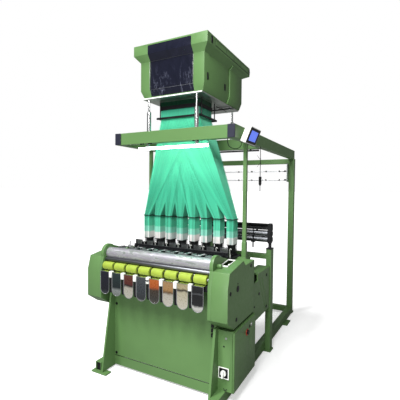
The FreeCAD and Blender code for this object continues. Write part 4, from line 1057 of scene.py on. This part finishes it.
@dataclass
class TapeGuides:
    """Eight round-ended polished guides, each with a thin raised rim."""

    finishes: Finishes
    half: float = GUIDE_WIDTH / 2
    rim: float = 3.2
    step: Span = (0.8, -1.3)
    sheet: float = 3.0
    facets: int = 20

    def build(self) -> None:
        """Builds the guides, the black spacers between them, which also stand in for the shade there, and the tie
        around a sleeve.
        """
        low, high = SPACE.box("tape_guides")
        finishes = [self.finishes.chrome]
        shape = Shape()
        for number, (lane, bands) in enumerate(zip(LANES, GUIDE_REFLECTION_BANDS), 1):
            finishes.append(ReflectionBands(f"tape_guide_{number}", bands, low.z, high.z).build())
            self.tongue(shape, lane, low, high.z, number)
            shape.block(about(lane, self.half), (low.y + self.sheet, high.y), (high.z - self.sheet, high.z),
                        0.6)
        shape.publish("tape_guides_polished", Body.FRAME, Slot.POLISHED, finishes, ["tape_guides"])
        self.spacers(low.y)
        self.tie()

    def tongue(self, shape: Shape, lane: float, foot: Vector, top: float, finish: int) -> None:
        """One guide's face: a flat rim around a sunk middle."""
        turns = [math.pi * k / self.facets for k in range(self.facets + 1)]
        edge = [(lane - self.half * math.cos(a), foot.y, foot.z + self.half - self.half * math.sin(a))
                for a in turns]
        corners = [(lane - self.half, foot.y, top), *edge, (lane + self.half, foot.y, top)]
        part = pushed(corners, (0.0, self.sheet, 0.0))
        bmesh.ops.recalc_face_normals(part, faces=part.faces)
        front = [face for face in part.faces if face.normal.y < -0.9]
        for thickness, depth in ((self.rim, 0.0), self.step):
            bmesh.ops.inset_region(part, faces=front, thickness=thickness, depth=depth, use_even_offset=True)
        for face in part.faces:
            face.material_index = 0
        for face in front:
            face.material_index = finish
        pour(part, shape.bm)

    def spacers(self, face_y: float) -> None:
        """Black spacers that reach forward from the rail, between the guides; they also stand in for the shade in
        the gaps between the guides.
        """
        rail = SPACE.box("guide_rail")[0]
        sleeve = SPACE.box("guide_sleeves")[0].z
        # Partly painted shade: black blocks fill each gap from the rail to just behind the guides' faces, with a
        # tab below the sleeve.
        shape = Shape().block(about(0.0, 9.0), (face_y + 5.0, rail.y + 0.5), (rail.z, sleeve), 1.0)
        shape.block(about(0.0, 11.0), (face_y + 3.0, face_y + 14.0), (sleeve - 52.0, sleeve - 26.0), 1.5)
        shape.lanes(GAPS).publish("guide_spacers_and_gap_shade", Body.FRAME, Slot.BLACK, [self.finishes.black])

    def tie(self) -> None:
        """A black tie around the sleeve between the fourth and fifth guides."""
        low, high = SPACE.box("guide_sleeves")
        gap, z, front = GAPS[3], (low.z + high.z) / 2, low.y - 3.0
        shape = Shape().block(about(gap, 15.0), (low.y - 2.0, high.y), about(z, 4.0), 1.5)
        shape.rod((gap + 2.0, front, z - 9.0), (gap + 6.0, front, z + 9.0), 3.0, bevel=0.8)
        shape.publish("sleeve_tie", Body.FRAME, Slot.BLACK, [self.finishes.black])


@dataclass
class WeavingZone:
    """Needles, reed and small hardware on the bed."""

    finishes: Finishes
    bed: float = field(default_factory=lambda: SPACE.box("weaving_bed")[1].z)
    dents: int = 16
    guide_x: float = 37.0
    hook_offset: float = 40.0
    pins: tuple[Point, ...] = ((-462.0, 210.0, 86.0), (-440.0, 250.0, 60.0), (-404.0, 236.0, 98.0),
                               (-388.0, 222.0, 74.0))
    pivot: Span = (300.0, 905.0)
    arm_inset: Span = (43.0, 23.0)

    def build(self) -> None:
        """Builds the batten with its reed and what stands on the bed."""
        f, bed = self.finishes, self.bed
        self.batten()
        self.shed_guides()
        fell = SPACE.box("fell_plates")
        y, z = fell[0].y + 28.0, fell[1].z
        clips = Shape().block((-6.0, 14.0), about(y, 16.0), (z, z + 3.5), 0.8)
        clips.post(4.0, y, (z + 3.0, z + 8.0), 4.5, bevel=0.8)
        clips.lanes(LANES).publish("fell_clips", Body.FRAME, Slot.BLACK, [f.black])
        hooks = Shape().wire([(0.0, 336.0, bed + 26.0), (0.0, 330.0, bed + 58.0), (4.0, 322.0, bed + 78.0),
                              (14.0, 318.0, bed + 82.0), (18.0, 322.0, bed + 74.0)], 2.6)
        hooks.rod((0.0, 338.0, bed), (0.0, 336.0, bed + 28.0), 5.0, bevel=0.8)
        hooks.lanes(x + self.hook_offset for x in LANES)
        hooks.publish("edge_hooks", Body.FRAME, Slot.WHITE, [f.white])
        pins = Shape()
        for x, y, height in self.pins:
            pins.post(x, y, (bed, bed + 14.0), 9.0, bevel=1.2)
            pins.post(x, y, (bed + 12.0, bed + height), 4.0, bevel=1.0)
        pins.publish("selvedge_pins", Body.FRAME, Slot.BLACK, [f.black])

    def shed_guides(self) -> None:
        """The black blocks, posts and cross bar around each bundle, and the block behind it."""
        bed = self.bed
        guides = Shape()
        for x in (side * self.guide_x for side in SIDES):
            guides.block(about(x, 5.0), (186.0, 262.0), (bed, bed + 22.0), 1.2)
            guides.post(x, 200.0, (bed + 20.0, bed + 52.0), 4.0, bevel=0.8)
            guides.post(x, 246.0, (bed + 20.0, bed + 40.0), 3.0, sides=10)
        guides.stud(about(0.0, 42.0), 200.0, bed + 44.0, 2.6, sides=10)
        guides.block(about(0.0, 30.0), (352.0, 404.0), (bed, bed + 30.0), 2.0)
        guides.block(about(0.0, 22.0), (360.0, 396.0), (bed + 30.0, bed + 58.0), 2.0)
        guides.lanes(LANES).publish("shed_guides", Body.FRAME, Slot.BLACK, [self.finishes.black])

    def batten(self) -> None:
        """The batten: its beam and arms, with thin reed wires between two baulks over each tape."""
        f, bed = self.finishes, self.bed
        low, high = SPACE.box("reed_batten")
        inner = SPACE.box("side_frame_right")[0].x
        near, far = (inner - inset for inset in self.arm_inset)
        y, z = self.pivot
        reeds = Shape().block(about(0.0, 38.0), (301.0, 309.0), (high.z - 6.0, high.z), 0.8)
        for side in SIDES:
            reeds.block(about(side * 36.0, 2.0), (301.0, 309.0), (bed + 49.0, high.z), 0.6)
        for k in range(self.dents):
            x = mix(about(0.0, 33.0), k / (self.dents - 1))
            reeds.block(about(x, 0.7), (303.0, 307.0), (bed + 49.0, high.z - 5.0), finish=1)
        shape = reeds.lanes(LANES).stud((low.x, high.x), y, z, 10.0, finish=1)
        for side in SIDES:
            arm = about(side * (near + far) / 2, (far - near) / 2)
            shape.block(arm, about(y, 12.0), (z, bed + 25.5), 2.0)
        shape.block(about(0.0, far), (290.0, 320.0), (bed + 25.0, bed + 50.0), 2.0)
        finishes = [f.black_paint, f.steel]
        shape.publish("batten_and_reed", Body.BATTEN, Slot.BLACK_PAINT, finishes, ["reed_batten"])


# ---------------------------------------------------------------- covers and panels

@dataclass
class CoverDetails:
    """Screws, the change gears and their hatch, and the panel's fixings."""

    finishes: Finishes
    screws: tuple[Point, ...] = ((-70.0, 816.0, 15.0), (45.0, 600.0, 15.0), (342.0, 935.0, 14.0),
                                 (65.0, 819.0, 24.0), (65.0, 856.0, 5.0))
    bolts: tuple[Point, ...] = ((590.0, 640.0, 14.0), (800.0, 760.0, 14.0), (800.0, 470.0, 14.0),
                                (470.0, 560.0, 8.0))
    gears: tuple[tuple[float, float, float, float], ...] = (
        (60.0, 935.0, 34.0, 26.0), (122.0, 938.0, 27.0, 26.0), (92.0, 930.0, 40.0, 44.0))
    teeth: int = 20
    slope: tuple[Span, Span] = ((20.0, 985.3), (165.0, 1002.2))

    def build(self) -> None:
        """Builds the small parts on the covers and panels."""
        black = self.finishes.black
        cover = SPACE.box("housing_right")[1].x
        screws = Shape()
        for y, z, radius in self.screws:
            screws.stud((cover - 1.0, cover + 2.5), y, z, radius, bevel=1.0)
            screws.stud((cover + 2.0, cover + 4.5), y, z, radius * 0.62, sides=6, bevel=0.6)
        screws.both_sides().publish("cover_screws", Body.FRAME, Slot.BLACK, [black])
        fixings = Shape()
        for z in (550.0, 125.0):
            fixings.rod((-430.0, 0.5, z), (-430.0, -3.0, z), 12.0, bevel=1.2)
        for z in (539.0, 505.0, 469.0):
            fixings.block((476.0, 497.0), (-10.0, 0.5), about(z, 13.0), 1.2)
        low, high = SPACE.box("kick_panel")
        fixings.block((low.x + 2.0, high.x - 2.0), (-0.6, 1.5), (high.z - 1.4, high.z + 1.6))
        fixings.publish("panel_fixings", Body.FRAME, Slot.BLACK, [black])
        self.gear_hatch()
        self.change_gears()
        self.bracket_parts()
        self.rail_plugs()

    def gear_hatch(self) -> None:
        """The light rim around the hatch in the sloping top of the right cover."""
        outer = SPACE.box("side_frame_right")[1].x
        left, right = outer + 10.0, outer + 65.0
        (front, fall), (rear, rise) = self.slope
        rim = Shape()
        for x in (left, right):
            near, far = about(x, 2.5)
            outline = [(near, front, fall - 6.0), (far, front, fall - 6.0), (far, rear, rise - 6.0),
                       (near, rear, rise - 6.0)]
            rim.plate(outline, (0.0, 0.0, 8.0), 0.8)
        for y, z in self.slope:
            rim.block((left - 2.5, right + 2.5), about(y, 2.5), (z - 6.0, z + 2.0), 0.8)
        rim.publish("gear_hatch_rim", Body.FRAME, Slot.SAGE, [self.finishes.white_paint])

    def change_gears(self) -> None:
        """The gears under the hatch, on shafts from the side frame, with a shelf and a white cap."""
        f = self.finishes
        outer = SPACE.box("side_frame_right")[1].x
        wall = outer - 0.5
        gears = Shape()
        for y, z, radius, reach in self.gears:
            x = outer + reach
            gears.stud(about(x, 6.0), y, z, radius, sides=32, bevel=1.2)
            gears.stud((wall, x + 10.0), y, z, 9.0, finish=1, bevel=1.0)
            for k in range(self.teeth):
                angle, tip = math.tau * k / self.teeth, radius + 2.5
                gears.stud(about(x, 6.0), y + tip * math.cos(angle), z + tip * math.sin(angle), 3.0, sides=6)
        gears.block((wall, outer + 69.0), (24.0, 160.0), (880.0, 890.0), 1.0)
        gears.block((wall, outer + 53.0), (34.0, 78.0), (966.0, 974.0), 1.5, finish=1)
        gears.post(outer + 40.0, 118.0, (940.0, 978.0), 13.0, bevel=1.5, finish=1)
        gears.publish("change_gears", Body.FRAME, Slot.WHITE, [f.black, f.white])

    def rail_plugs(self) -> None:
        """Black plugs pushed a little way into the front ends of the base rails."""
        low, high = SPACE.box("base_rails")
        foot = SPACE.box("foot_plates")[1].z
        plugs = Shape()
        for x in (low.x + 30.0, high.x - 30.0):
            plugs.block(about(x, 24.5), (low.y + 12.0, low.y + 22.0), (foot + 5.5, high.z - 5.5), 1.0)
        plugs.publish("rail_plugs", Body.FRAME, Slot.BLACK, [self.finishes.black])

    def bracket_parts(self) -> None:
        """Bolts, backing plates and pressed ribs on the rear brackets."""
        f = self.finishes
        side = SPACE.box("rear_brackets")[1].x
        bolts = Shape()
        for y, z, radius in self.bolts:
            bolts.stud((side - 1.0, side + 4.0), y, z, radius, sides=6, bevel=0.8)
        bolts.both_sides().publish("bracket_bolts", Body.FRAME, Slot.BLACK, [f.black])
        backing = Shape().block(about(side - 38.0, 2.0), (520.0, 720.0), (620.0, 808.5), 1.0)
        backing.both_sides().publish("bracket_backs", Body.FRAME, Slot.SAGE, [f.sage])
        ribs = Shape()
        for y in (600.0, 660.0):
            outline = [(side - 0.5, y + shift, z)
                       for shift, z in ((0.0, 770.0), (12.0, 770.0), (182.0, 460.0), (170.0, 460.0))]
            ribs.plate(outline, (3.0, 0.0, 0.0), 1.0)
        ribs.both_sides().publish("bracket_ribs", Body.FRAME, Slot.SAGE, [f.sage])


@dataclass
class Cabinet:
    """The main switch, lock, button ring and small fittings of the electric cabinet."""

    finishes: Finishes
    front: float = -18.0
    switch: Span = (587.0, 225.0)
    opening: float = 34.0
    plate: float = 41.0
    button: Span = (233.0, 86.0)

    def build(self) -> None:
        """Builds the cabinet's fittings on the body and on the door."""
        f = self.finishes
        body = SPACE.box("cabinet_body")
        door = SPACE.box("cabinet_door")[1].x
        front = self.front
        x, z = self.switch
        face = (front - 7.4, front - 5.5)
        switch = Shape().block(about(x, self.opening), face, about(z, self.opening), 0.5)
        switch.publish("switch_face", Body.FRAME, Slot.BLACK, [f.black])
        bar, mid = (self.plate - self.opening) / 2, (self.plate + self.opening) / 2
        plate = Shape()
        for side in SIDES:
            plate.block(about(x, self.plate), (front - 8.0, front - 5.0), about(z + side * mid, bar), 0.8)
            plate.block(about(x + side * mid, bar), (front - 8.0, front - 5.0), about(z, self.opening), 0.8)
        plate.publish("switch_frame", Body.FRAME, Slot.WHITE, [f.white])
        lock = Shape().rod((x + 15.0, front + 0.5, 476.0), (x + 15.0, front - 5.0, 476.0), 8.0, bevel=1.0)
        lock.rod((x - 2.0, front + 0.5, 415.0), (x - 2.0, front - 2.5, 415.0), 6.0, bevel=0.8, finish=1)
        lock.wire([(x, front - 1.0, 112.0), (x + 6.0, front - 8.0, 104.0), (x + 18.0, front - 8.0, 104.0),
                   (x + 26.0, front - 1.0, 112.0)], 2.4, 1)
        lock.publish("cabinet_fittings", Body.FRAME, Slot.STEEL, [f.steel, f.black])
        section = [(17.2, -0.5), (17.2, 2.6), (25.0, 2.6), (26.0, 1.6), (26.0, -0.5)]
        ring = Shape().lathe(section, (door, self.button[0], body[1].z - self.button[1]), (1, 0, 0))
        ring.publish("stop_button_ring", Body.DOOR, Slot.RED, [f.red])
        fitting = Shape().stud((door - 0.5, door + 3.4), 322.0, 478.0, 15.0, bevel=0.8)
        fitting.stud((door - 0.5, door + 3.0), 286.0, 472.0, 12.0, bevel=0.6, finish=1)
        fitting.publish("door_lock", Body.DOOR, Slot.STEEL, [f.aluminium, f.black])


# ---------------------------------------------------------------- gantry fittings

@dataclass
class GantryFittings:
    """Lamp, screen, cables, the hanging tool and the rods behind them."""

    finishes: Finishes
    under: float = field(default_factory=lambda: SPACE.box("side_beam_right")[0].z)
    tilt: float = 23.0
    pivot: Span = (596.0, 1985.0)
    cord_radius: float = 3.0
    lead: tuple[Point, ...] = ((505.0, 182.0, 0.0), (505.0, 182.0, -34.0), (512.0, 204.0, -62.0),
                               (530.0, 246.0, -74.0), (552.0, 294.0, -66.0), (565.0, 326.0, -38.0),
                               (567.0, 331.0, 0.0))
    clips: tuple[Span, ...] = ((-300.0, 9.0), (-275.0, 7.0), (-205.0, 22.0), (222.0, 9.0), (262.0, 8.0))
    stops: tuple[Span, ...] = ((-330.0, 10.0), (-120.0, 10.0), (60.0, 10.0), (250.0, 10.0), (420.0, 10.0),
                               (492.0, 16.0))

    def build(self) -> None:
        """Builds what hangs from the gantry's beams."""
        self.lamp()
        self.screen()
        self.cables()
        self.tool()
        self.rods()
        self.roller_unit()

    def lamp(self) -> None:
        """The lamp: a lit diffuser in a slim holder, on two hangers, with black clips on the beam."""
        f = self.finishes
        low, high = SPACE.box("led_lamp")
        shape = Shape().block((low.x, high.x), (low.y, high.y), (low.z + 19.0, low.z + 25.0), 1.5, finish=1)
        y = (low.y + 3.0, high.y - 3.0)
        shape.block((low.x + 4.0, high.x - 4.0), y, (low.z, low.z + 20.0), 5.0, steps=3)
        for x in (-240.0, 240.0):
            shape.block(about(x, 12.0), (low.y + 6.0, high.y - 6.0), (low.z + 24.0, high.z), 1.0, finish=1)
        shape.publish("lamp_bar", Body.FRAME, Slot.LAMP, [f.lamp, f.aluminium], ["led_lamp"])
        clips = Shape()
        for x, width in self.clips:
            clips.block(about(x, width), (low.y - 14.0, low.y - 6.0), (high.z - 9.0, high.z), 1.5)
        clips.publish("lamp_cable_clips", Body.FRAME, Slot.BLACK, [f.black])

    def screen(self) -> None:
        """The screen in its black bezel on the tilted case, and the knob on the beam behind it."""
        f = self.finishes
        place = Matrix.Translation((self.pivot[0], 0.0, self.pivot[1]))
        place = place @ Matrix.Rotation(math.radians(self.tilt), 4, "Y")
        bezel = Shape().block((60.2, 62.6), (252.0, 468.0), (-67.0, 54.0), 1.0)
        bezel.turned(place).publish("screen_bezel", Body.DISPLAY, Slot.BLACK, [f.black])
        glass = Shape().block((62.2, 63.4), (284.0, 430.0), (-46.0, 34.0), 0.4)
        glass.turned(place).publish("screen_glass", Body.DISPLAY, Slot.LAMP, [f.screen])
        knob = Shape().post(575.0, 505.0, (2027.0, 2040.0), 9.0, bevel=2.0)
        knob.publish("beam_knob", Body.FRAME, Slot.BLACK, [f.black])

    def cord(self, name: str, points: Sequence[Vector], node: str) -> bpy.types.Object:
        """A black round cord through its control points, in place of a CAD node."""
        cord = stand(name, smooth_curve(name, points, self.cord_radius * MM))
        cord.data.materials.append(self.finishes.black)
        return settle(cord, Body.FRAME, [node])

    def cables(self) -> None:
        """The screen's lead, which sags from the front beam to the side beam."""
        points = [SPACE.at(x, y, self.under + z) for x, y, z in self.lead]
        lead = self.cord("screen_lead", points, "display_cable")

    def tool(self) -> None:
        """The tool that hangs on its straight cord, with tie tails above it."""
        f = self.finishes
        low, high = SPACE.box("hand_tool")
        x, y = (low.x + high.x) / 2, (low.y + high.y) / 2
        top = SPACE.box("tool_cord")[1].z
        dress("hand_tool", f.black)
        grip = Shape()
        for drop in (18.0, 32.0, 46.0):
            grip.post(x, y, about(high.z - drop, 3.0), 13.6, bevel=1.2, sides=28)
        rings = grip.publish("tool_grip", Body.FRAME, Slot.BLACK, [f.belt])
        points = [SPACE.at(x, y, z) for z in (top, top - 90.0, top - 180.0, high.z)]
        cord = self.cord("tool_line", points, "tool_cord")
        ties = Shape()
        for z, rise in ((top - 110.0, 34.0), (top - 150.0, -34.0)):
            ties.block(about(x, 4.5), about(y, 4.5), about(z, 3.0), 1.0)
            ties.wire([(x - 3.0, y, z), (x - 16.0, y, z + rise * 0.3), (x - 30.0, y, z + rise)], 1.3)
        ties.publish("cord_ties", Body.FRAME, Slot.BLACK, [f.black])

    def roller_unit(self) -> None:
        """The clamping bar over the feed rollers, their bearing blocks and a hanging catch."""
        high = SPACE.box("rear_roller_frame")[1]
        unit = Shape().block(about(0.0, 606.0), (936.0, 956.0), (high.z - 62.0, high.z - 34.0), 2.0)
        for side in SIDES:
            x = about(side * (high.x + 4.0), 5.0)
            for z in (1065.0, 1122.0):
                unit.block(x, (925.0, 965.0), about(z, 20.0), 3.0)
            unit.block(x, (930.0, 960.0), (1150.0, 1206.0), 2.0)
        for x in (-380.0, -60.0, 240.0, 500.0):
            unit.block(about(x, 9.0), (926.0, 936.0), (high.z - 80.0, high.z - 30.0), 1.5)
        unit.block((463.0, 477.0), (901.0, 937.0), (1158.0, 1172.0), 1.5)
        unit.post(470.0, 907.0, (1050.0, 1166.0), 4.5, bevel=1.0)
        unit.post(470.0, 905.0, (985.0, 1050.0), 7.0, bevel=1.0)
        unit.block((450.0, 490.0), (896.0, 914.0), (1035.0, 1056.0), 2.0)
        unit.publish("rear_roller_fittings", Body.FRAME, Slot.BLACK_PAINT, [self.finishes.black_paint])

    def rods(self) -> None:
        """The black rail under the middle cross beam, and stops on the two yarn rods."""
        f = self.finishes
        rail = Shape().stud(about(0.0, 515.0), 910.0, self.under - 14.0, 8.0, bevel=1.0)
        for x in (-430.0, 430.0):
            rail.block(about(x, 8.0), (902.0, 918.0), (self.under - 14.0, self.under), 1.0)
        rail.publish("cross_rail", Body.FRAME, Slot.BLACK_PAINT, [f.black_paint])
        marks = Shape()
        for drop in (154.0, 262.0):
            for x, width in self.stops:
                marks.stud(about(x, width), 2000.0, self.under - drop, 9.0, bevel=1.2)
        marks.publish("yarn_rod_stops", Body.FRAME, Slot.BLACK, [f.black])


# ---------------------------------------------------------------- studio

@dataclass
class Studio:
    """A plain pale floor, soft lights and the camera."""

    eye: Point = (1.54215, -3.1875, 1.533)
    yaw: float = 28.15
    pitch: float = 1.751
    roll: float = 0.587
    lens: float = 30.55
    floor_reach: float = 400.0

    def build(self) -> None:
        """Builds the floor, the lights, the surroundings and the camera."""
        self.floor()
        self.key((0.42, 0.78, -1.55), 3.0, 13.0)
        self.soft_box("head_light", (0.9, -3.4, 3.6), (0.1, -0.8, 2.45), 1.2, 140.0)
        self.soft_box("corner_fill", (0.9, -3.6, 0.9), (0.55, -1.0, 0.6), 0.9, 28.0)
        self.surroundings()
        self.camera()

    def floor(self) -> None:
        """The floor: a wide pale sheet, which shows lighter than it throws light back."""
        part = bmesh.new()
        bmesh.ops.create_grid(part, x_segments=1, y_segments=1, size=self.floor_reach)
        mesh = bpy.data.meshes.new("floor")
        part.to_mesh(mesh)
        part.free()
        recipe = Recipe("pale_floor")
        seen = recipe.add("ShaderNodeLightPath").outputs["Is Camera Ray"]
        mesh.materials.append(recipe.shade(
            Base_Color=recipe.ramp(seen, [(0.0, (0.3, 0.3, 0.3, 1)), (1.0, (0.9, 0.9, 0.9, 1))]),
            Emission_Color=recipe.ramp(seen, [(0.0, (0, 0, 0, 1)), (1.0, (1, 1, 1, 1))]),
            Roughness=1.0, Specular_IOR_Level=0.0, Emission_Strength=0.45))
        stand("floor", mesh)

    def key(self, ahead: Point, strength: float, spread: float) -> None:
        """The wide key light from above the weaver's left shoulder.

        Args:
            ahead: the way that the light travels.
            strength: its power over each square metre.
            spread: the angle over which it comes, in degrees.
        """
        lamp = bpy.data.lights.new("key", "SUN")
        lamp.energy = strength
        lamp.angle = math.radians(spread)
        stand("key", lamp).matrix_world = facing(ahead, "-Z")

    def soft_box(self, name: str, place: Point, aim: Point, size: float, power: float) -> None:
        """A square soft light."""
        lamp = bpy.data.lights.new(name, "AREA")
        lamp.size = size
        lamp.energy = power
        turn = facing(Vector(aim) - Vector(place), "-Z")
        stand(name, lamp).matrix_world = Matrix.Translation(place) @ turn

    def surroundings(self) -> None:
        """White surroundings that light the loom less than they show."""
        world = bpy.data.worlds.new("studio")
        world.use_nodes = True
        nodes, links = world.node_tree.nodes, world.node_tree.links
        soft, seen = nodes["Background"], nodes.new("ShaderNodeBackground")
        for shader, strength in ((soft, 0.2), (seen, 1.0)):
            shader.inputs["Color"].default_value = (1.0, 1.0, 1.0, 1.0)
            shader.inputs["Strength"].default_value = strength
        path, mixer = nodes.new("ShaderNodeLightPath"), nodes.new("ShaderNodeMixShader")
        links.new(path.outputs["Is Camera Ray"], mixer.inputs[0])
        links.new(soft.outputs[0], mixer.inputs[1])
        links.new(seen.outputs[0], mixer.inputs[2])
        links.new(mixer.outputs[0], nodes["World Output"].inputs["Surface"])
        bpy.context.scene.world = world
        bpy.context.scene.view_settings.view_transform = "Standard"

    def camera(self) -> None:
        """The camera, at eye level in front of the loom's right-hand corner."""
        yaw, pitch, roll = (math.radians(a) for a in (self.yaw, self.pitch, self.roll))
        ahead = Vector((-math.sin(yaw) * math.cos(pitch), math.cos(yaw) * math.cos(pitch), -math.sin(pitch)))
        level = Vector((math.cos(yaw), math.sin(yaw), 0.0))
        up = level.cross(ahead)
        right = level * math.cos(roll) + up * math.sin(roll)
        upright = up * math.cos(roll) - level * math.sin(roll)
        lens = bpy.data.cameras.new("camera")
        lens.lens = self.lens
        lens.sensor_width = 36.0
        camera = stand("camera", lens)
        turn = Matrix((right, upright, -ahead)).transposed().to_4x4()
        camera.matrix_world = Matrix.Translation(self.eye) @ turn
        bpy.context.scene.camera = camera


def main() -> None:
    """Builds the studio and then the loom, from its frame outwards."""
    logging.basicConfig(level=logging.INFO, format="%(message)s")
    Studio().build()
    finishes = Finishes()
    for part in (GantryFittings, Castings, JacquardHead, Harness, FrontRollers, TapeGuides, WeavingZone,
                 CoverDetails, Cabinet):
        LOG.info("building %s", part.__name__)
        part(finishes).build()


if __name__ == "__main__":
    main()
